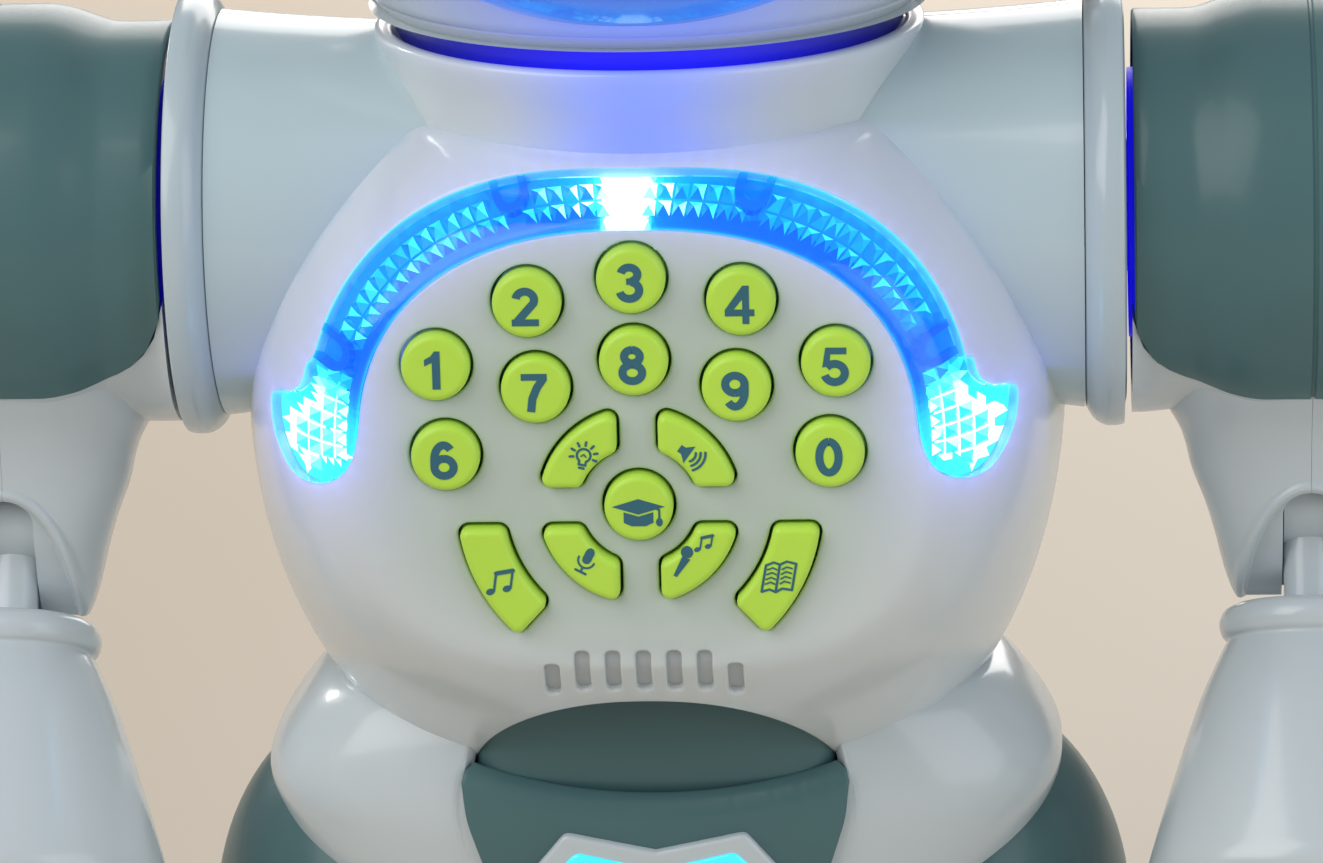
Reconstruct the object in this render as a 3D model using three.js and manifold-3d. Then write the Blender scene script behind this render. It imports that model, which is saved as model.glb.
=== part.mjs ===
// An educational coding robot for children: a standing toy about 280 mm tall.
// White moulded casings, dark grey pads and hips, a lime green keypad on the chest
// and a blue light arc over it. Millimetres, +Z up, the robot looks towards -Y.
// Its own left is +X. The origin is on the ground under the middle of the robot.

import * as THREE from 'three';
import { mergeVertices } from 'three/addons/utils/BufferGeometryUtils.js';
import Module from 'manifold-3d';

const wasm = await Module();
wasm.setup();

// ---- Driving dimensions -------------------------------------------------

// General fits
const gap = 0.3; // clearance between two pieces that meet
const partingGap = 0.3; // line between two halves of a casing
const wall = 2.2; // moulded wall of the casings

// Heights of the main axes
const hipHeight = 72; // middle of the thighs above the ground
const shoulderAboveHip = 98;
const shoulderHeight = hipHeight + shoulderAboveHip;
const elbowDrop = 40; // elbow axis below the shoulder axis

// Torso: an egg seen from the front, cut flat for the keypad
const torsoDrop = 21; // middle of the egg below the shoulder axis
const torsoMiddle = shoulderHeight - torsoDrop;
const torsoHalfWidth = 53.4;
const torsoRise = 50.5; // egg above its middle
const torsoFall = 65; // egg below its middle
const torsoRisePower = 1.6;
const torsoFallPower = 2.1;
const keypadDepth = 46.5; // keypad face in front of the centre plane
const keypadHalfWidth = 35;
const keypadRise = 28.9;
const keypadFall = 27.5;
const keypadRisePower = 2.4;
const keypadFallPower = 3;
const backDepth = 44; // flat back panel behind the centre plane
const backHalfWidth = 29;
const backHalfHeight = 29;
const backPower = 3;
const frontSidePower = 1.8; // how full the front is between keypad and outline
const frontTopPower = 1.4;
const frontBottomPower = 1.2;
const backFullness = 1.9;
const ledgeRise = 16; // flat top of the torso above the shoulder axis
const ledgeHeight = shoulderHeight + ledgeRise;

// Shoulder yoke, ring and hub, all round the shoulder axis
const yokeRadius = 26.5;
const yokeStandOut = 2.3; // end of the yoke beyond the torso's side
const yokeReach = torsoHalfWidth + yokeStandOut;
const ringRadius = 29;
const ringThickness = 5.2;
const ringRim = 1.8; // rounding of the ring's rim
const axleRadius = 9;
const axleFlangeRadius = 13;
const axleFlangeThickness = 2;
const hubRadius = 17.5;
const hubLength = 2;

// Neck
const collarFootRadius = 31;
const collarLipRadius = 36;
const collarHeight = 14; // from the foot inside the torso to the lip
const collarSunk = 2; // how far the foot lies below the ledge
const neckRadius = 9;
const neckFlangeRadius = 13;
const neckFlangeThickness = 3.4;

// Head
const headRaise = 30.4; // base of the head above the shoulder axis
const headBase = shoulderHeight + headRaise;
const headHeight = 79.6;
const headMiddleRise = 37.4; // widest place above the base
const headMiddle = headBase + headMiddleRise;
const headHalfWidth = 48;
const headHalfDepth = 47;
const headBelow = 52; // form below its middle, cut at the base
const headPower = 2.3;
const headRimRadius = 36.5;
const headRimHeight = 1.8;
const visorHalfWidth = 38;
const visorHalfHeight = 29;
const visorPower = 2.2;
const visorDrop = 4.8; // middle of the visor below the head's widest place
const visorMiddle = headMiddle - visorDrop;
const visorThickness = 1.8;
const eyeRadius = 9;
const eyeSpacing = 34;
const earRadius = 13;
const earReach = 5.2; // how far an ear cap stands out of the head

// Chest light
const lensHalfWidth = 42; // outer edge of the arc
const lensRise = 35.8;
const lensFootRadius = 6.1; // flared end
const lensFootOffset = 41.2; // of the flared end from the centre line
const lensFootRise = 2.6; // middle of a flared end above the middle of the torso
const lensFootHeight = torsoMiddle + lensFootRise;
const lensArcBack = 33; // how far forward the arc and its feet end, from the centre plane
const lensFootBack = 28;
const lensProud = 0.3;
const reflectorThickness = 2;

// Keypad
const keyRadius = 4.3;
const keyProud = 1.8; // key top above the keypad face
const keyGap = 0.35; // between a key and its hole
const keyFlange = 0.7; // flange wider than the key
const keyFlangeThickness = 1.2;
const keyTravel = 1;
const keyCorner = 1.1; // rounded corner of the shaped keys
const keyEdge = 0.5; // chamfer round the top of a key
const learnKeyDrop = 27.3; // middle key below the shoulder axis
const learnKeyHeight = shoulderHeight - learnKeyDrop;
const modeKeyInner = 7.6; // ring of four mode keys round the learn key
const modeKeyOuter = 12.6;
const modeKeyCut = 2.6; // flat sides of the mode keys from the ring's axes
const outerKeyInner = 17; // ring of the two outer keys
const outerKeyOuter = 22.8;
const outerKeyLowEnd = 47; // degrees below level
const matThickness = 1.5;
const matInset = 3.5; // mat and board inside the keypad outline
const matPostRadius = 1.2;
const boardThickness = 1.6;

// Speaker slots
const slotCount = 7;
const slotPitch = 3.86;
const slotWidth = 1.9;
const slotDrop = 46.5; // top of the slots below the shoulder axis
const slotTop = shoulderHeight - slotDrop;
const slotLength = 6;
const slotEndDrop = 1.7; // outer two start lower
const speakerWidth = 30;
const speakerHeight = 11;
const speakerDepth = 5;
const speakerTilt = 38; // degrees, facing down and forward
const speakerBack = 30.5; // middle of its back, before the centre plane
const speakerDrop = 3; // middle of the speaker below the top of the slots
const speakerMiddle = slotTop - speakerDrop;

// Waist
const archHalfWidth = 27.9;
const archRise = 19.5;
const archDrop = 75; // middle of the waist arch below the shoulder axis
const archMiddle = shoulderHeight - archDrop;
const abdomenHalfWidth = 30;
const abdomenDepth = 25;
const abdomenHeight = 31;
const pelvisPower = 3;
const pelvisDrop = 58; // top of the pelvis below the shoulder axis
const pelvisTop = shoulderHeight - pelvisDrop;
const pelvisHeight = 46;
const beltDrop = 11.2; // top edge of the belt below the top of the pelvis
const beltTop = pelvisTop - beltDrop;
const beltDip = 2.4; // top edge lower in the middle
const beltHalfWidth = 25;
const beltLowHalfWidth = 17;
const beltHeight = 28;
const beltThickness = 2.4;
const buckleHalfWidth = 15.5;
const buckleHeight = 18;
const buckleDrop = 7.8; // top of the buckle below the belt's top edge
const buckleTop = beltTop - buckleDrop;
const buckleNotch = 2.4;
const buckleFrame = 2.6; // width of the frame round the light
const buckleThickness = 1.4;

// Back of the torso
const doorHalfWidth = 23;
const doorHeight = 40;
const doorDrop = 3; // middle of the door below the middle of the torso
const doorMiddle = torsoMiddle - doorDrop;
const doorCorner = 4;
const cellRadius = 5.25;
const cellLength = 44.5;
const cellCount = 4;
const cellDrop = 1.5; // middle of the cells below the middle of the door
const cellMiddle = doorMiddle - cellDrop;
const switchAboveDoor = 25;
const switchHeight = doorMiddle + switchAboveDoor;
const switchKnobWidth = 5;
const switchKnobHeight = 3;
const switchPlateHeight = 5.2;
const switchTravel = 5;
const switchProud = 1.5;

// Arms, measured for the robot's left arm
const armFromYoke = 29.3; // parting plane of the arm shells beyond the yoke's end
const armMiddle = yokeReach + armFromYoke;
const drumRadius = 25.9;
const drumOuterHalf = 19.9; // outer end of the drum beyond the parting plane
const drumOuterEnd = armMiddle + drumOuterHalf;
const drumInnerRound = 4;
const drumOuterRound = 10;
const padThickness = 1.3;
const padDrop = 22.6; // lower edge below the shoulder axis
const padCorner = 12;
const strutPower = 2.6;
const elbowRadius = 10;
const elbowHalfWidth = 12;
const pinEnd = elbowHalfWidth - wall;
const tongueWidth = 8;
const tongueRadius = 8.5;
const elbowPinRadius = 3;
const cuffRadius = 11.3;
const cuffDrop = 10.4; // top of the cuff below the elbow axis
const cuffHeight = 3.6;
const cuffEdge = 1; // chamfer round the cuff
const bellRadius = 21.6;
const bellDrop = 47; // widest place of the forearm below the elbow axis
const bellNeckRise = 24; // narrow top of the bell above its widest place
const bellNeckInset = 6;
const bellFlankRise = 12; // halfway down its flank
const bellFlankInset = 2.4;
const bellLipRise = 3; // lip of the bell above the wrist
const bellLipInset = 1.2;
const bellEndInset = 4.5;
const wristDrop = 55;
const wristRadius = 14;
const palmSunk = 2; // palm of the hand sunk into the gripper
const palmEdge = 3; // chamfer round the palm, this wide and palmSunk high
const gripOuter = 14; // hand, a C-shaped gripper
const gripInner = 9;
const gripDrop = 68.5; // middle of the gripper below the elbow axis
const gripWidth = 12;
const gripMouth = 14;
const leftSwing = 0; // degrees at rest, forward is negative
const leftBend = -25;
const rightSwing = -8;
const rightBend = -21;

// Legs
const legMiddle = 38;
const thighHalfWidth = 23.4;
const thighHalfDepth = 27;
const thighHalfHeight = 30;
const thighBack = 4; // thigh behind the centre plane
const thighDrop = 24; // flat lower end of the thigh below its middle
const thighCut = hipHeight - thighDrop;
const soleHeight = 1.5; // sole above the ground, the wheels reach below it
const footHalfWidth = 25;
const footHalfDepth = 54;
const footHeight = 12;
const bootTopDrop = 11; // top of the boot below the middle of the thigh
const bootTop = hipHeight - bootTopDrop;
const bootTopHalfWidth = 23;
const bootTopHalfDepth = 29;
const soleEdge = 1.5; // chamfer round the sole, this wide
const soleEdgeHeight = 2.5;
const toeRise = 6; // rounded top of the foot above its side
const toeInset = 0.8;
const toeInsetDepth = 6;
const ankleRise = 16; // ankle above the side of the foot
const ankleSpread = 1; // ankle wider than the waist of the boot
const ankleSpreadDepth = 8;
const bootWaistRise = 28; // waist of the boot above the side of the foot
const bootWaistHalfWidth = 20.5;
const bootWaistHalfDepth = 27;
const bootPower = 2.6;
const wheelRadius = 9;
const wheelWidth = 8;
const wheelFromToe = 23; // wheel axles in from each end of the foot
const wheelOffset = footHalfDepth - wheelFromToe;
const wheelPlay = 1.2; // room round the wheel in its well
const wheelAxleRadius = 2;
const wheelAxleReach = 4; // axle beyond each face of the wheel

// Facets
const bodySides = 24;
const bodySteps = 4;
const headSteps = 10;
const insideShare = 2; // inside faces have this many times fewer facets
const drumSides = 16;
const drumTurns = 2; // facets in each rounded edge of the drum
const strutSteps = 3;
const keySides = 8;
const keyCornerSteps = 1;
const keyArcSteps = 2;
const smallSides = 8;
const legSides = 16;
const wheelSides = 12;
const pelvisSides = 20;
const pelvisSteps = 6;

// ---- Finishes ------------------------------------------------------------

const finishes = {
  white: { color: '#dfe6ea', roughness: 0.3, metalness: 0 },
  grey: { color: '#4b676a', roughness: 0.3, metalness: 0 },
  abdomenGrey: { color: '#3f5557', roughness: 0.6, metalness: 0 },
  lime: { color: '#9fc92e', roughness: 0.45, metalness: 0 },
  blueLens: { color: '#1187ff', roughness: 0.12, metalness: 0 },
  cyanLight: { color: '#35d6f2', roughness: 0.3, metalness: 0 },
  visorBlue: { color: '#2b3fb0', roughness: 0.1, metalness: 0 },
  silicone: { color: '#b9c2c4', roughness: 0.8, metalness: 0 },
  circuit: { color: '#1f5a33', roughness: 0.5, metalness: 0 },
  speakerBlack: { color: '#26292b', roughness: 0.7, metalness: 0 },
  cell: { color: '#3a3d40', roughness: 0.5, metalness: 0 },
  rubber: { color: '#2b2e30', roughness: 0.85, metalness: 0 },
};

// ---- Shape helpers ---------------------------------------------------------

const degrees = Math.PI / 180;
const far = 2 * (headBase + headHeight); // beyond every piece

// A closed three.js geometry becomes a solid: shared corners are merged, flat-out
// triangles are dropped and the faces are turned outwards.
function solid(geometry) {
  const plain = new THREE.BufferGeometry();
  plain.setAttribute('position', geometry.getAttribute('position').clone());
  if (geometry.index) plain.setIndex(geometry.index.clone());
  const merged = mergeVertices(plain, 1e-4);
  const place = merged.getAttribute('position');
  const corners = merged.index.array;
  const triangles = [];
  let volume = 0;
  const a = new THREE.Vector3();
  const b = new THREE.Vector3();
  const c = new THREE.Vector3();
  for (let i = 0; i < corners.length; i += 3) {
    const [p, q, r] = [corners[i], corners[i + 1], corners[i + 2]];
    if (p === q || q === r || r === p) continue;
    triangles.push(p, q, r);
    a.fromBufferAttribute(place, p);
    b.fromBufferAttribute(place, q);
    c.fromBufferAttribute(place, r);
    volume += a.dot(b.cross(c));
  }
  if (volume < 0) triangles.reverse();
  return new wasm.Manifold(new wasm.Mesh({
    numProp: 3,
    vertProperties: new Float32Array(place.array),
    triVerts: new Uint32Array(triangles),
  }));
}

function geometryOf(shape) {
  const mesh = shape.getMesh();
  const geometry = new THREE.BufferGeometry();
  geometry.setAttribute('position', new THREE.BufferAttribute(new Float32Array(mesh.vertProperties), 3));
  geometry.setIndex(new THREE.BufferAttribute(new Uint32Array(mesh.triVerts), 1));
  geometry.computeVertexNormals();
  return geometry;
}

function block(x0, x1, y0, y1, z0, z1) {
  const geometry = new THREE.BoxGeometry(x1 - x0, y1 - y0, z1 - z0);
  geometry.translate((x0 + x1) / 2, (y0 + y1) / 2, (z0 + z1) / 2);
  return solid(geometry);
}

// A closed skin through rings of points, all with the same count. Each end is
// closed by a fan from the middle of its ring.
function loft(rings) {
  const count = rings[0].length;
  const points = rings.flat();
  const triangles = [];
  for (let i = 0; i + 1 < rings.length; i += 1) {
    for (let j = 0; j < count; j += 1) {
      const a = i * count + j;
      const b = i * count + ((j + 1) % count);
      triangles.push(a, b, b + count, a, b + count, a + count);
    }
  }
  for (const end of [0, rings.length - 1]) {
    const middle = new THREE.Vector3();
    for (const point of rings[end]) middle.addScaledVector(point, 1 / count);
    points.push(middle);
    for (let j = 0; j < count; j += 1) {
      const a = end * count + j;
      const b = end * count + ((j + 1) % count);
      if (end === 0) triangles.push(b, a, points.length - 1);
      else triangles.push(a, b, points.length - 1);
    }
  }
  const geometry = new THREE.BufferGeometry().setFromPoints(points);
  geometry.setIndex(triangles);
  return solid(geometry);
}

// Profile points are [radius, distance along the axis].
function turned(profile, sides = drumSides) {
  return new THREE.LatheGeometry(profile.map(([r, h]) => new THREE.Vector2(r, h)), sides);
}

const turnedUp = (profile, sides) => solid(turned(profile, sides).rotateX(Math.PI / 2));
const turnedAcross = (profile, sides) => solid(turned(profile, sides).rotateZ(-Math.PI / 2));

// A front-view outline, drawn in X and Z, made into a column that reaches from
// one depth to another in front of the centre plane.
function column(outline, nearDepth, farDepth, curveSegments = 2) {
  const geometry = new THREE.ExtrudeGeometry(outline, {
    depth: farDepth - nearDepth,
    bevelEnabled: false,
    curveSegments,
  });
  geometry.rotateX(Math.PI / 2);
  geometry.translate(0, -nearDepth, 0);
  return solid(geometry);
}

// A side-view outline, drawn in Y and Z, extruded along X.
function slab(outline, x0, x1, curveSegments = 8) {
  const geometry = new THREE.ExtrudeGeometry(outline, { depth: x1 - x0, bevelEnabled: false, curveSegments });
  const turn = new THREE.Matrix4().makeBasis(
    new THREE.Vector3(0, 1, 0),
    new THREE.Vector3(0, 0, 1),
    new THREE.Vector3(1, 0, 0),
  );
  geometry.applyMatrix4(turn);
  geometry.translate(x0, 0, 0);
  return solid(geometry);
}

// Distance from the middle to a superellipse in the direction of an angle.
function superRadius(angle, halfWidth, halfHeight, power) {
  const across = Math.abs(Math.cos(angle)) / halfWidth;
  const up = Math.abs(Math.sin(angle)) / halfHeight;
  return (across ** power + up ** power) ** (-1 / power);
}

// A level ring of points on a superellipse round a vertical axis at x.
function superRing(x, height, halfWidth, halfDepth, power, sides) {
  const bend = (value) => Math.sign(value) * Math.abs(value) ** (2 / power);
  return Array.from({ length: sides }, (_, i) => {
    const angle = (2 * Math.PI * i) / sides;
    const y = halfDepth * bend(Math.sin(angle));
    return new THREE.Vector3(x + halfWidth * bend(Math.cos(angle)), y, height);
  });
}

// A smooth curve through sections, each of three sizes.
function curveThrough(sections) {
  const points = sections.map((section) => new THREE.Vector3(...section));
  return new THREE.CatmullRomCurve3(points, false, 'centripetal');
}

function circleShape(x, z, radius) {
  const shape = new THREE.Shape();
  shape.absarc(x, z, radius, 0, 2 * Math.PI, false);
  return shape;
}

function polarShape(radiusAt, height, sides) {
  const points = [];
  for (let i = 0; i < sides; i += 1) {
    const angle = (2 * Math.PI * i) / sides;
    const r = radiusAt(angle);
    points.push(new THREE.Vector2(r * Math.cos(angle), height + r * Math.sin(angle)));
  }
  return new THREE.Shape(points);
}

function roundedRectangle(x0, x1, z0, z1, corner) {
  const shape = new THREE.Shape();
  shape.absarc(x1 - corner, z1 - corner, corner, 0, Math.PI / 2, false);
  shape.absarc(x0 + corner, z1 - corner, corner, Math.PI / 2, Math.PI, false);
  shape.absarc(x0 + corner, z0 + corner, corner, Math.PI, 1.5 * Math.PI, false);
  shape.absarc(x1 - corner, z0 + corner, corner, 1.5 * Math.PI, 2 * Math.PI, false);
  return shape;
}

// ---- Scene graph -----------------------------------------------------------

const group = new THREE.Group();

function addPiece(name, shape, finish, parent = group) {
  const material = new THREE.MeshStandardMaterial(finishes[finish]);
  const mesh = new THREE.Mesh(geometryOf(shape), material);
  mesh.name = name;
  parent.add(mesh);
}

// ---- Torso -----------------------------------------------------------------

const outlineRadius = (angle) => (Math.sin(angle) >= 0
  ? superRadius(angle, torsoHalfWidth, torsoRise, torsoRisePower)
  : superRadius(angle, torsoHalfWidth, torsoFall, torsoFallPower));
const keypadRadius = (angle) => (Math.sin(angle) >= 0
  ? superRadius(angle, keypadHalfWidth, keypadRise, keypadRisePower)
  : superRadius(angle, keypadHalfWidth, keypadFall, keypadFallPower));
const backRadius = (angle) => superRadius(angle, backHalfWidth, backHalfHeight, backPower);

function frontFullness(angle) {
  const lift = Math.sin(angle);
  const edge = lift >= 0 ? frontTopPower : frontBottomPower;
  return frontSidePower + (edge - frontSidePower) * lift * lift;
}

// The torso's outside, larger all round by grow. Rings run from the keypad's edge
// out to the widest outline and in again to the edge of the flat back.
function torsoForm(grow) {
  const share = grow < 0 ? insideShare : 1;
  const sides = bodySides / share;
  const steps = bodySteps / share;
  const rings = [];
  const addRing = (step, edgeRadius, depth, fullness, sign) => {
    const spread = Math.sin((Math.PI / 2) * (step / steps));
    const ring = [];
    for (let j = 0; j < sides; j += 1) {
      const angle = (2 * Math.PI * j) / sides;
      const power = fullness(angle);
      const inner = edgeRadius(angle);
      const radius = inner + (outlineRadius(angle) - inner) * spread + grow;
      const reach = (depth + grow) * (1 - spread ** power) ** (1 / power);
      const z = torsoMiddle + radius * Math.sin(angle);
      ring.push(new THREE.Vector3(radius * Math.cos(angle), sign * reach, z));
    }
    rings.push(ring);
  };
  for (let step = 0; step <= steps; step += 1) {
    addRing(step, keypadRadius, keypadDepth, frontFullness, -1);
  }
  for (let step = steps - 1; step >= 0; step -= 1) {
    addRing(step, backRadius, backDepth, () => backFullness, 1);
  }
  return loft(rings).intersect(block(-far, far, -far, far, -far, ledgeHeight + grow));
}

function yokeForm(grow) {
  const radius = yokeRadius + grow;
  const end = yokeReach + grow;
  return turnedAcross([[0, -end], [radius, -end], [radius, end], [0, end]], drumSides)
    .translate(0, 0, shoulderHeight);
}

const collarBase = ledgeHeight - collarSunk;
const collarTop = collarBase + collarHeight;

function collarForm(grow) {
  const flare = (collarLipRadius - collarFootRadius) / (collarTop - ledgeHeight);
  const lip = collarLipRadius + grow;
  const foot = collarFootRadius + grow;
  return turnedUp([
    [0, collarBase - grow],
    [foot, collarBase - grow],
    [foot, ledgeHeight],
    [lip, collarTop],
    [lip + flare * collarHeight, collarTop + collarHeight],
    [0, collarTop + collarHeight],
  ], bodySides);
}

// The chest light's front-view outline: an arc with a flared foot at each end.
function lensColumn(grow) {
  const outer = (angle) => superRadius(angle, lensHalfWidth, lensRise, keypadRisePower) + grow;
  const inner = (angle) => superRadius(angle, keypadHalfWidth, keypadRise, keypadRisePower) - grow;
  const band = column(polarShape(outer, torsoMiddle, bodySides), lensArcBack, far)
    .subtract(column(polarShape(inner, torsoMiddle, bodySides), 0, 2 * far))
    .intersect(block(-far, far, -far, far, lensFootHeight, far));
  const foot = (side) => column(
    circleShape(side * lensFootOffset, lensFootHeight, lensFootRadius + grow),
    lensFootBack,
    far,
    smallSides / 2,
  );
  return band.add(foot(1)).add(foot(-1));
}

// Keys, as front-view outlines on the keypad
const digitKeys = [
  ['key_1', -24.9, -9], ['key_2', -13.3, -1], ['key_3', -0.3, 1.9], ['key_4', 13.3, -1],
  ['key_5', 24.9, -9], ['key_6', -24, -20.6], ['key_7', -12.5, -12], ['key_8', -0.2, -8.6],
  ['key_9', 12.5, -12], ['key_0', 24, -20.6],
];
const roundKeys = digitKeys.map(([name, x, drop]) => ({ name, x, z: shoulderHeight + drop }));
roundKeys.push({ name: 'key_learn', x: 0, z: learnKeyHeight });

const modeKey = (name, startAngle) => ({
  name,
  inner: modeKeyInner,
  outer: modeKeyOuter,
  start: { angle: startAngle, offset: modeKeyCut },
  end: { angle: startAngle + 90, offset: modeKeyCut },
});
const shapedKeys = [
  modeKey('key_sound', 0),
  modeKey('key_light', 90),
  modeKey('key_record', 180),
  modeKey('key_sing', 270),
  {
    name: 'key_music',
    inner: outerKeyInner,
    outer: outerKeyOuter,
    start: { angle: 180, offset: modeKeyCut },
    end: { angle: 180 + outerKeyLowEnd, offset: 0 },
  },
  {
    name: 'key_story',
    inner: outerKeyInner,
    outer: outerKeyOuter,
    start: { angle: 360 - outerKeyLowEnd, offset: 0 },
    end: { angle: 360, offset: modeKeyCut },
  },
];

const keys = [...roundKeys, ...shapedKeys];

// Points of an arc, ends included.
function arcPoints(middle, radius, from, to, steps) {
  return Array.from({ length: steps + 1 }, (_, i) => {
    const angle = from + ((to - from) * i) / steps;
    return new THREE.Vector2(middle.x + radius * Math.cos(angle), middle.y + radius * Math.sin(angle));
  });
}

// A piece of a ring round the learn key between two straight sides, with round
// corners. Each side is a line at an angle, moved into the key by its offset.
function ringKeyOutline(key, grow) {
  const corner = keyCorner + grow;
  const inner = key.inner - grow;
  const outer = key.outer + grow;
  const cornerAt = (side, radius, sign) => {
    const angle = side.angle * degrees;
    const inset = side.offset - grow + corner;
    const reach = Math.sqrt(radius * radius - inset * inset);
    return new THREE.Vector2(
      reach * Math.cos(angle) - sign * inset * Math.sin(angle),
      reach * Math.sin(angle) + sign * inset * Math.cos(angle),
    );
  };
  const startOut = cornerAt(key.start, outer - corner, 1);
  const endOut = cornerAt(key.end, outer - corner, -1);
  const endIn = cornerAt(key.end, inner + corner, -1);
  const startIn = cornerAt(key.start, inner + corner, 1);
  const startAngle = key.start.angle * degrees;
  const endAngle = key.end.angle * degrees;
  const turnNear = (angle, near) => angle + 2 * Math.PI * Math.round((near - angle) / (2 * Math.PI));
  const middleAngle = (startAngle + endAngle) / 2;
  const startOutAngle = turnNear(startOut.angle(), middleAngle);
  const endOutAngle = turnNear(endOut.angle(), middleAngle);
  const startInAngle = turnNear(startIn.angle(), middleAngle);
  const endInAngle = turnNear(endIn.angle(), middleAngle);
  const middle = new THREE.Vector2();
  const points = [
    ...arcPoints(startOut, corner, startAngle - Math.PI / 2, startOutAngle, keyCornerSteps),
    ...arcPoints(middle, outer, startOutAngle, endOutAngle, keyArcSteps).slice(1, -1),
    ...arcPoints(endOut, corner, endOutAngle, endAngle + Math.PI / 2, keyCornerSteps),
    ...arcPoints(endIn, corner, endAngle + Math.PI / 2, endInAngle + Math.PI, keyCornerSteps),
    ...arcPoints(middle, inner, endInAngle, startInAngle, keyArcSteps).slice(1, -1),
    ...arcPoints(startIn, corner, startInAngle - Math.PI, startAngle - Math.PI / 2, keyCornerSteps),
  ];
  return points.map((point) => new THREE.Vector2(point.x, learnKeyHeight + point.y));
}

function roundKeyOutline(key, grow) {
  const middle = new THREE.Vector2(key.x, key.z);
  return arcPoints(middle, keyRadius + grow, 0, 2 * Math.PI, keySides).slice(0, -1);
}

const keyOutline = (key, grow) => (key.inner ? ringKeyOutline(key, grow) : roundKeyOutline(key, grow));

const plateInside = keypadDepth - wall;
const flangeFront = plateInside - gap;
const flangeBack = flangeFront - keyFlangeThickness;
const keyTop = keypadDepth + keyProud;

// Levels of a key or of the room cut for it: [growth of the outline, depth]
function keyBody(key, levels) {
  return loft(levels.map(([grow, depth]) => (
    keyOutline(key, grow).map((point) => new THREE.Vector3(point.x, -depth, point.y))
  )));
}

const keyCap = (key) => keyBody(key, [
  [keyFlange, flangeBack],
  [keyFlange, flangeFront],
  [0, flangeFront],
  [0, keyTop - keyEdge],
  [-keyEdge, keyTop],
]);
const flangeRoom = keyFlange + gap;
const keyHole = (key) => keyBody(key, [[keyGap, plateInside - wall / 2], [keyGap, keyTop]]);
const flangeSpace = (key) => keyBody(key, [
  [flangeRoom, flangeBack - keyTravel - gap],
  [flangeRoom, plateInside],
]);

// A key near the edge of the keypad needs room for its flange in the wall.
const nearEdge = (key) => keyOutline(key, flangeRoom).some((point) => {
  const fromMiddle = new THREE.Vector2(point.x, point.y - torsoMiddle);
  return fromMiddle.length() > keypadRadius(fromMiddle.angle()) - wall - gap;
});

function slotShape(x, z0, z1, width) {
  return roundedRectangle(x - width / 2, x + width / 2, z0, z1, width / 2 - 0.01);
}

function archColumn(grow) {
  const radiusAt = (angle) => superRadius(angle, archHalfWidth, archRise, 2) + grow;
  return column(polarShape(radiusAt, archMiddle, bodySides), wall, keypadDepth + wall);
}

const doorShape = (grow) => roundedRectangle(
  -doorHalfWidth - grow,
  doorHalfWidth + grow,
  doorMiddle - doorHeight / 2 - grow,
  doorMiddle + doorHeight / 2 + grow,
  doorCorner + grow,
);
const switchSlot = roundedRectangle(
  -(switchKnobWidth + switchTravel) / 2 - gap,
  (switchKnobWidth + switchTravel) / 2 + gap,
  switchHeight - switchKnobHeight / 2 - gap,
  switchHeight + switchKnobHeight / 2 + gap,
  gap,
);

const casingOuter = torsoForm(0).add(yokeForm(0));
const casingInner = torsoForm(-wall).add(yokeForm(-wall));
const axleBore = turnedAcross([
  [0, -yokeReach - wall],
  [axleRadius + gap, -yokeReach - wall],
  [axleRadius + gap, yokeReach + wall],
  [0, yokeReach + wall],
], drumSides).translate(0, 0, shoulderHeight);
const casing = casingOuter.subtract(casingInner).subtract(collarForm(gap)).subtract(axleBore);

const frontHalf = block(-far, far, -far, -partingGap / 2, -far, far);
const backHalf = block(-far, far, partingGap / 2, far, -far, far);

let torsoFront = casing.intersect(frontHalf).subtract(archColumn(0));
torsoFront = torsoFront.subtract(lensColumn(0));
for (const key of keys) {
  torsoFront = torsoFront.subtract(keyHole(key));
  if (nearEdge(key)) torsoFront = torsoFront.subtract(flangeSpace(key));
}
for (let i = 0; i < slotCount; i += 1) {
  const fromMiddle = i - (slotCount - 1) / 2;
  const isEnd = i === 0 || i === slotCount - 1;
  const top = slotTop - (isEnd ? slotEndDrop : 0);
  const bottom = slotTop - slotLength - (isEnd ? slotEndDrop / 3 : 0);
  const slot = slotShape(fromMiddle * slotPitch, bottom, top, slotWidth);
  torsoFront = torsoFront.subtract(column(slot, keypadDepth / 2, keyTop, 1));
}
addPiece('torso_front_shell', torsoFront, 'white');

const torsoRear = casing.intersect(backHalf)
  .subtract(column(doorShape(0), -backDepth - wall, -backDepth + 2 * wall))
  .subtract(column(switchSlot, -backDepth - wall, -backDepth + 2 * wall, 1));
addPiece('torso_rear_shell', torsoRear, 'white');

const collarCup = turnedUp([
  [neckRadius + gap, collarBase],
  [collarFootRadius, collarBase],
  [collarFootRadius, ledgeHeight],
  [collarLipRadius, collarTop],
  [collarLipRadius - wall, collarTop],
  [collarFootRadius - wall, collarBase + wall],
  [neckRadius + gap, collarBase + wall],
  [neckRadius + gap, collarBase],
], bodySides);
addPiece('neck_collar', collarCup, 'white');

const lens = torsoForm(lensProud).subtract(torsoForm(-wall)).intersect(lensColumn(-gap));
addPiece('chest_light_lens', lens, 'blueLens');
const reflectorFront = -wall - gap;
const reflector = torsoForm(reflectorFront)
  .subtract(torsoForm(reflectorFront - reflectorThickness))
  .intersect(lensColumn(-gap));
addPiece('light_reflector', reflector, 'white');

for (const key of keys) addPiece(key.name, keyCap(key), 'lime');

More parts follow.
